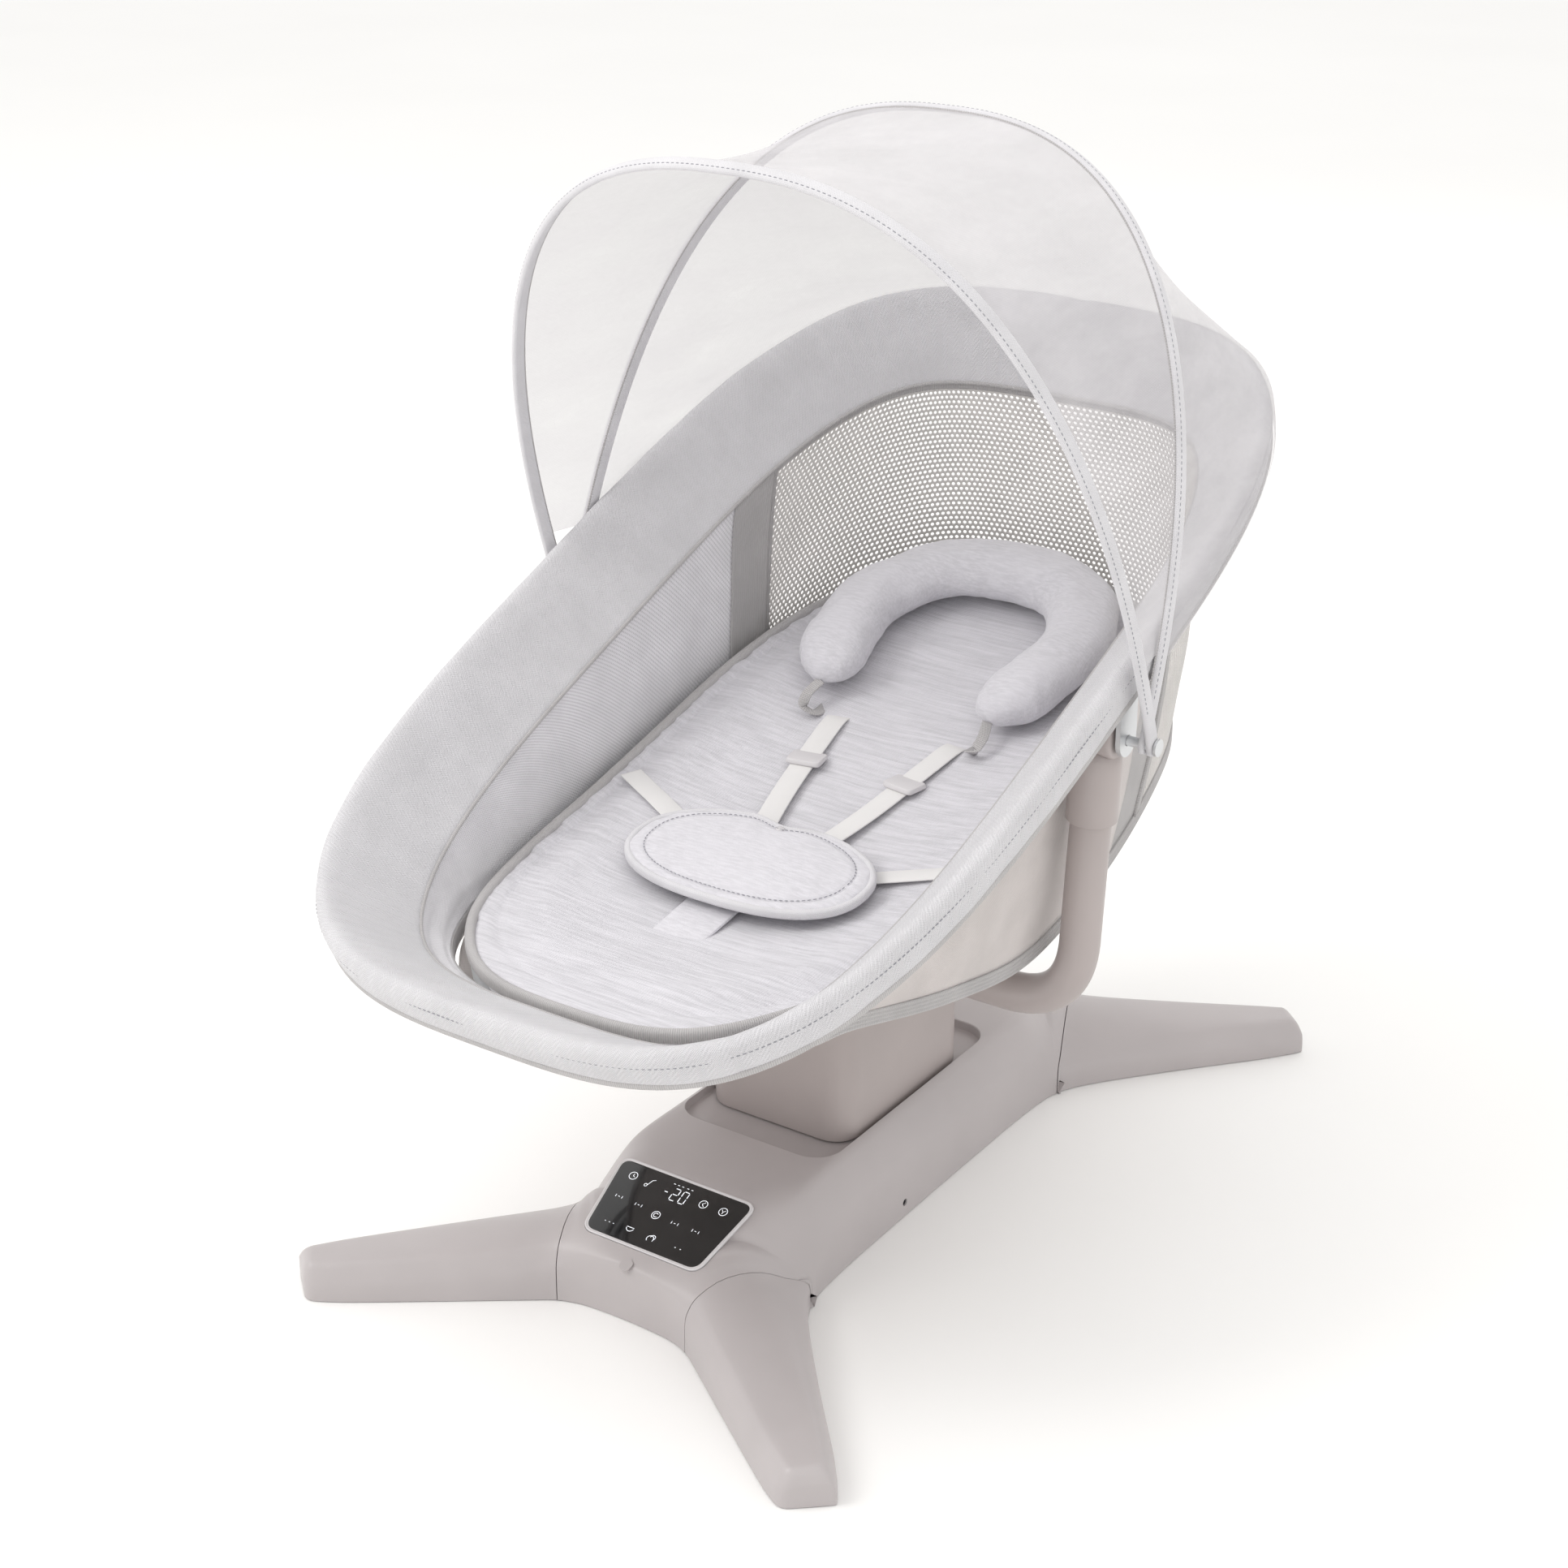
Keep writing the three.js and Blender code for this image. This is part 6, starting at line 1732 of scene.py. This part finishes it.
# ---- Hardware kept from the frame -----------------------------------------------------------------------
KEPT = {
    "steel": ("drive_motor", "guide_rod_left", "guide_rod_right", "carriage_plate", "carriage_post",
              "seat_frame_ring", "hub_bracket_right", "hub_bracket_left", "hub_pin_right", "hub_pin_left"),
    "brass": ("drive_pinion",),
    "black plastic": ("rail_support_front", "rail_support_rear", "power_jack", "yoke_saddle", "yoke_clamp"),
    "acetal": ("carriage_block", "drive_rack"),
    "board": ("control_board",),
    "housing": ("base_cover",),
    "rubber": ("foot_front_right", "foot_front_left", "foot_rear_right", "foot_rear_left"),
}


def finish_hardware():
    for name, nodes in KEPT.items():
        for node in nodes:
            piece = frame["nodes"][node]
            piece.data.materials.clear()
            piece.data.materials.append(finish(name))
            smooth_by_angle(piece, 35)


# ---- Stage ----------------------------------------------------------------------------------------------
CAMERA_AZIMUTH = 34.22
CAMERA_ELEVATION = 24.03
CAMERA_TARGET = Vector((0.0, -0.07895, 0.379))
CAMERA_DISTANCE = 2.160
CAMERA_LENS = 63.22


def build_stage():
    scene = bpy.context.scene
    azimuth, elevation = math.radians(CAMERA_AZIMUTH), math.radians(CAMERA_ELEVATION)
    away = Vector((math.sin(azimuth) * math.cos(elevation), -math.cos(azimuth) * math.cos(elevation),
                   math.sin(elevation)))
    camera = bpy.data.objects.new("camera", bpy.data.cameras.new("camera"))
    scene.collection.objects.link(camera)
    camera.location = CAMERA_TARGET + away * CAMERA_DISTANCE
    camera.rotation_euler = (-away).to_track_quat("-Z", "Y").to_euler()
    camera.data.lens = CAMERA_LENS
    camera.data.sensor_width = 36.0
    camera.data.clip_end = 60.0
    scene.camera = camera
    floor = surface("floor", [[(x, y, 0.0) for x in np.linspace(-14, 14, 9)] for y in np.linspace(-14, 14, 9)])
    floor.data.materials.append(stage_finish())
    for name, place, size, power in (("key", (-1.9, -2.1, 3.0), 1.8, 50), ("fill", (2.8, -1.5, 1.6), 2.6, 5),
                                     ("back", (-0.4, 2.8, 2.2), 2.6, 10), ("top", (0, 0.2, 3.4), 3.0, 12)):
        light = bpy.data.objects.new(name, bpy.data.lights.new(name, "AREA"))
        light.data.size = size
        light.data.energy = power
        light.data.color = (1.0, 0.985, 0.97)
        light.location = place
        light.rotation_euler = (Vector((0, 0, 0.4)) - Vector(place)).to_track_quat("-Z", "Y").to_euler()
        scene.collection.objects.link(light)
    world = bpy.data.worlds.new("studio")
    scene.world = world
    world.use_nodes = True
    background = world.node_tree.nodes["Background"]
    background.inputs["Color"].default_value = (1.0, 0.995, 0.985, 1.0)
    background.inputs["Strength"].default_value = 1.0
    scene.view_settings.view_transform = "Standard"


def stage_finish():
    look = Finish("studio floor")
    look.set(Base_Color=look.blend(look.range(look.noise(look.place(), 0.7), 0.3, 0.7), (0.93, 0.925, 0.915, 1),
                                   (0.96, 0.955, 0.945, 1)), Roughness=0.75, Specular_IOR_Level=0.2)
    return look.material


# ---- Operators --------------------------------------------------------------------------------------------
class SWING_OT_stage(bpy.types.Operator):
    """Sets up the floor, lights and camera"""
    bl_idname = "swing.stage"
    bl_label = "Stage"

    def execute(self, context):
        build_stage()
        return {"FINISHED"}


class SWING_OT_base(bpy.types.Operator):
    """Builds the base's body and its four legs"""
    bl_idname = "swing.base"
    bl_label = "Base and legs"

    def execute(self, context):
        build_base()
        return {"FINISHED"}


class SWING_OT_panel(bpy.types.Operator):
    """Builds the control panel with its display marks"""
    bl_idname = "swing.panel"
    bl_label = "Control panel"

    def execute(self, context):
        build_panel()
        return {"FINISHED"}


class SWING_OT_tower(bpy.types.Operator):
    """Builds the gliding tower's cover"""
    bl_idname = "swing.tower"
    bl_label = "Tower"

    def execute(self, context):
        build_tower()
        return {"FINISHED"}


class SWING_OT_yoke(bpy.types.Operator):
    """Builds the yoke, its hubs and the recline buttons"""
    bl_idname = "swing.yoke"
    bl_label = "Yoke and hubs"

    def execute(self, context):
        build_yoke()
        return {"FINISHED"}


class SWING_OT_rim(bpy.types.Operator):
    """Builds the padded rim with its piping and stitching"""
    bl_idname = "swing.rim"
    bl_label = "Padded rim"

    def execute(self, context):
        build_rim()
        return {"FINISHED"}


class SWING_OT_walls(bpy.types.Operator):
    """Builds the seat's fabric sides, the head mesh and the lower band"""
    bl_idname = "swing.walls"
    bl_label = "Seat sides"

    def execute(self, context):
        build_walls()
        return {"FINISHED"}


class SWING_OT_mat(bpy.types.Operator):
    """Builds the mat with its binding and the board under it"""
    bl_idname = "swing.mat"
    bl_label = "Mat"

    def execute(self, context):
        build_mat()
        return {"FINISHED"}


class SWING_OT_pillow(bpy.types.Operator):
    """Builds the head pillow with its loops"""
    bl_idname = "swing.pillow"
    bl_label = "Head pillow"

    def execute(self, context):
        build_pillow()
        return {"FINISHED"}


class SWING_OT_harness(bpy.types.Operator):
    """Builds the straps, the buckle and its padded cover"""
    bl_idname = "swing.harness"
    bl_label = "Harness"

    def execute(self, context):
        build_harness()
        build_cover()
        return {"FINISHED"}


class SWING_OT_canopy(bpy.types.Operator):
    """Builds the canopy's two bows and its nets"""
    bl_idname = "swing.canopy"
    bl_label = "Canopy"

    def execute(self, context):
        build_bow("front", "canopy_front", "canopy_front_bow")
        build_bow("rear", "canopy_rear", "canopy_rear_bow")
        build_nets()
        return {"FINISHED"}


class SWING_OT_hardware(bpy.types.Operator):
    """Finishes the hidden frame, drive and fittings"""
    bl_idname = "swing.hardware"
    bl_label = "Hardware"

    def execute(self, context):
        finish_hardware()
        return {"FINISHED"}


OPERATORS = (SWING_OT_stage, SWING_OT_base, SWING_OT_panel, SWING_OT_tower, SWING_OT_yoke, SWING_OT_rim,
             SWING_OT_walls, SWING_OT_mat, SWING_OT_pillow, SWING_OT_harness, SWING_OT_canopy, SWING_OT_hardware)


class SWING_PT_sidebar(bpy.types.Panel):
    """Lists the swing's sizes, colours and building steps"""
    bl_idname = "SWING_PT_sidebar"
    bl_label = "Baby Swing"
    bl_space_type = "VIEW_3D"
    bl_region_type = "UI"
    bl_category = "Baby Swing"

    def draw(self, context):
        layout = self.layout
        for group in (context.scene.swing_sizes, context.scene.swing_colours):
            box = layout.box()
            for name in group.__annotations__:
                box.prop(group, name)
        for operator in OPERATORS:
            layout.operator(operator.bl_idname)


CLASSES = (SwingSizes, SwingColours, *OPERATORS, SWING_PT_sidebar)


def register():
    for item in CLASSES:
        bpy.utils.register_class(item)
    bpy.types.Scene.swing_sizes = PointerProperty(type=SwingSizes)
    bpy.types.Scene.swing_colours = PointerProperty(type=SwingColours)


def unregister():
    del bpy.types.Scene.swing_colours
    del bpy.types.Scene.swing_sizes
    for item in reversed(CLASSES):
        bpy.utils.unregister_class(item)


def main():
    register()
    bpy.ops.swing.stage()
    bpy.ops.swing.base()
    bpy.ops.swing.panel()
    bpy.ops.swing.tower()
    bpy.ops.swing.yoke()
    bpy.ops.swing.rim()
    bpy.ops.swing.walls()
    bpy.ops.swing.mat()
    bpy.ops.swing.pillow()
    bpy.ops.swing.harness()
    bpy.ops.swing.canopy()
    bpy.ops.swing.hardware()


if __name__ == "__main__":
    main()
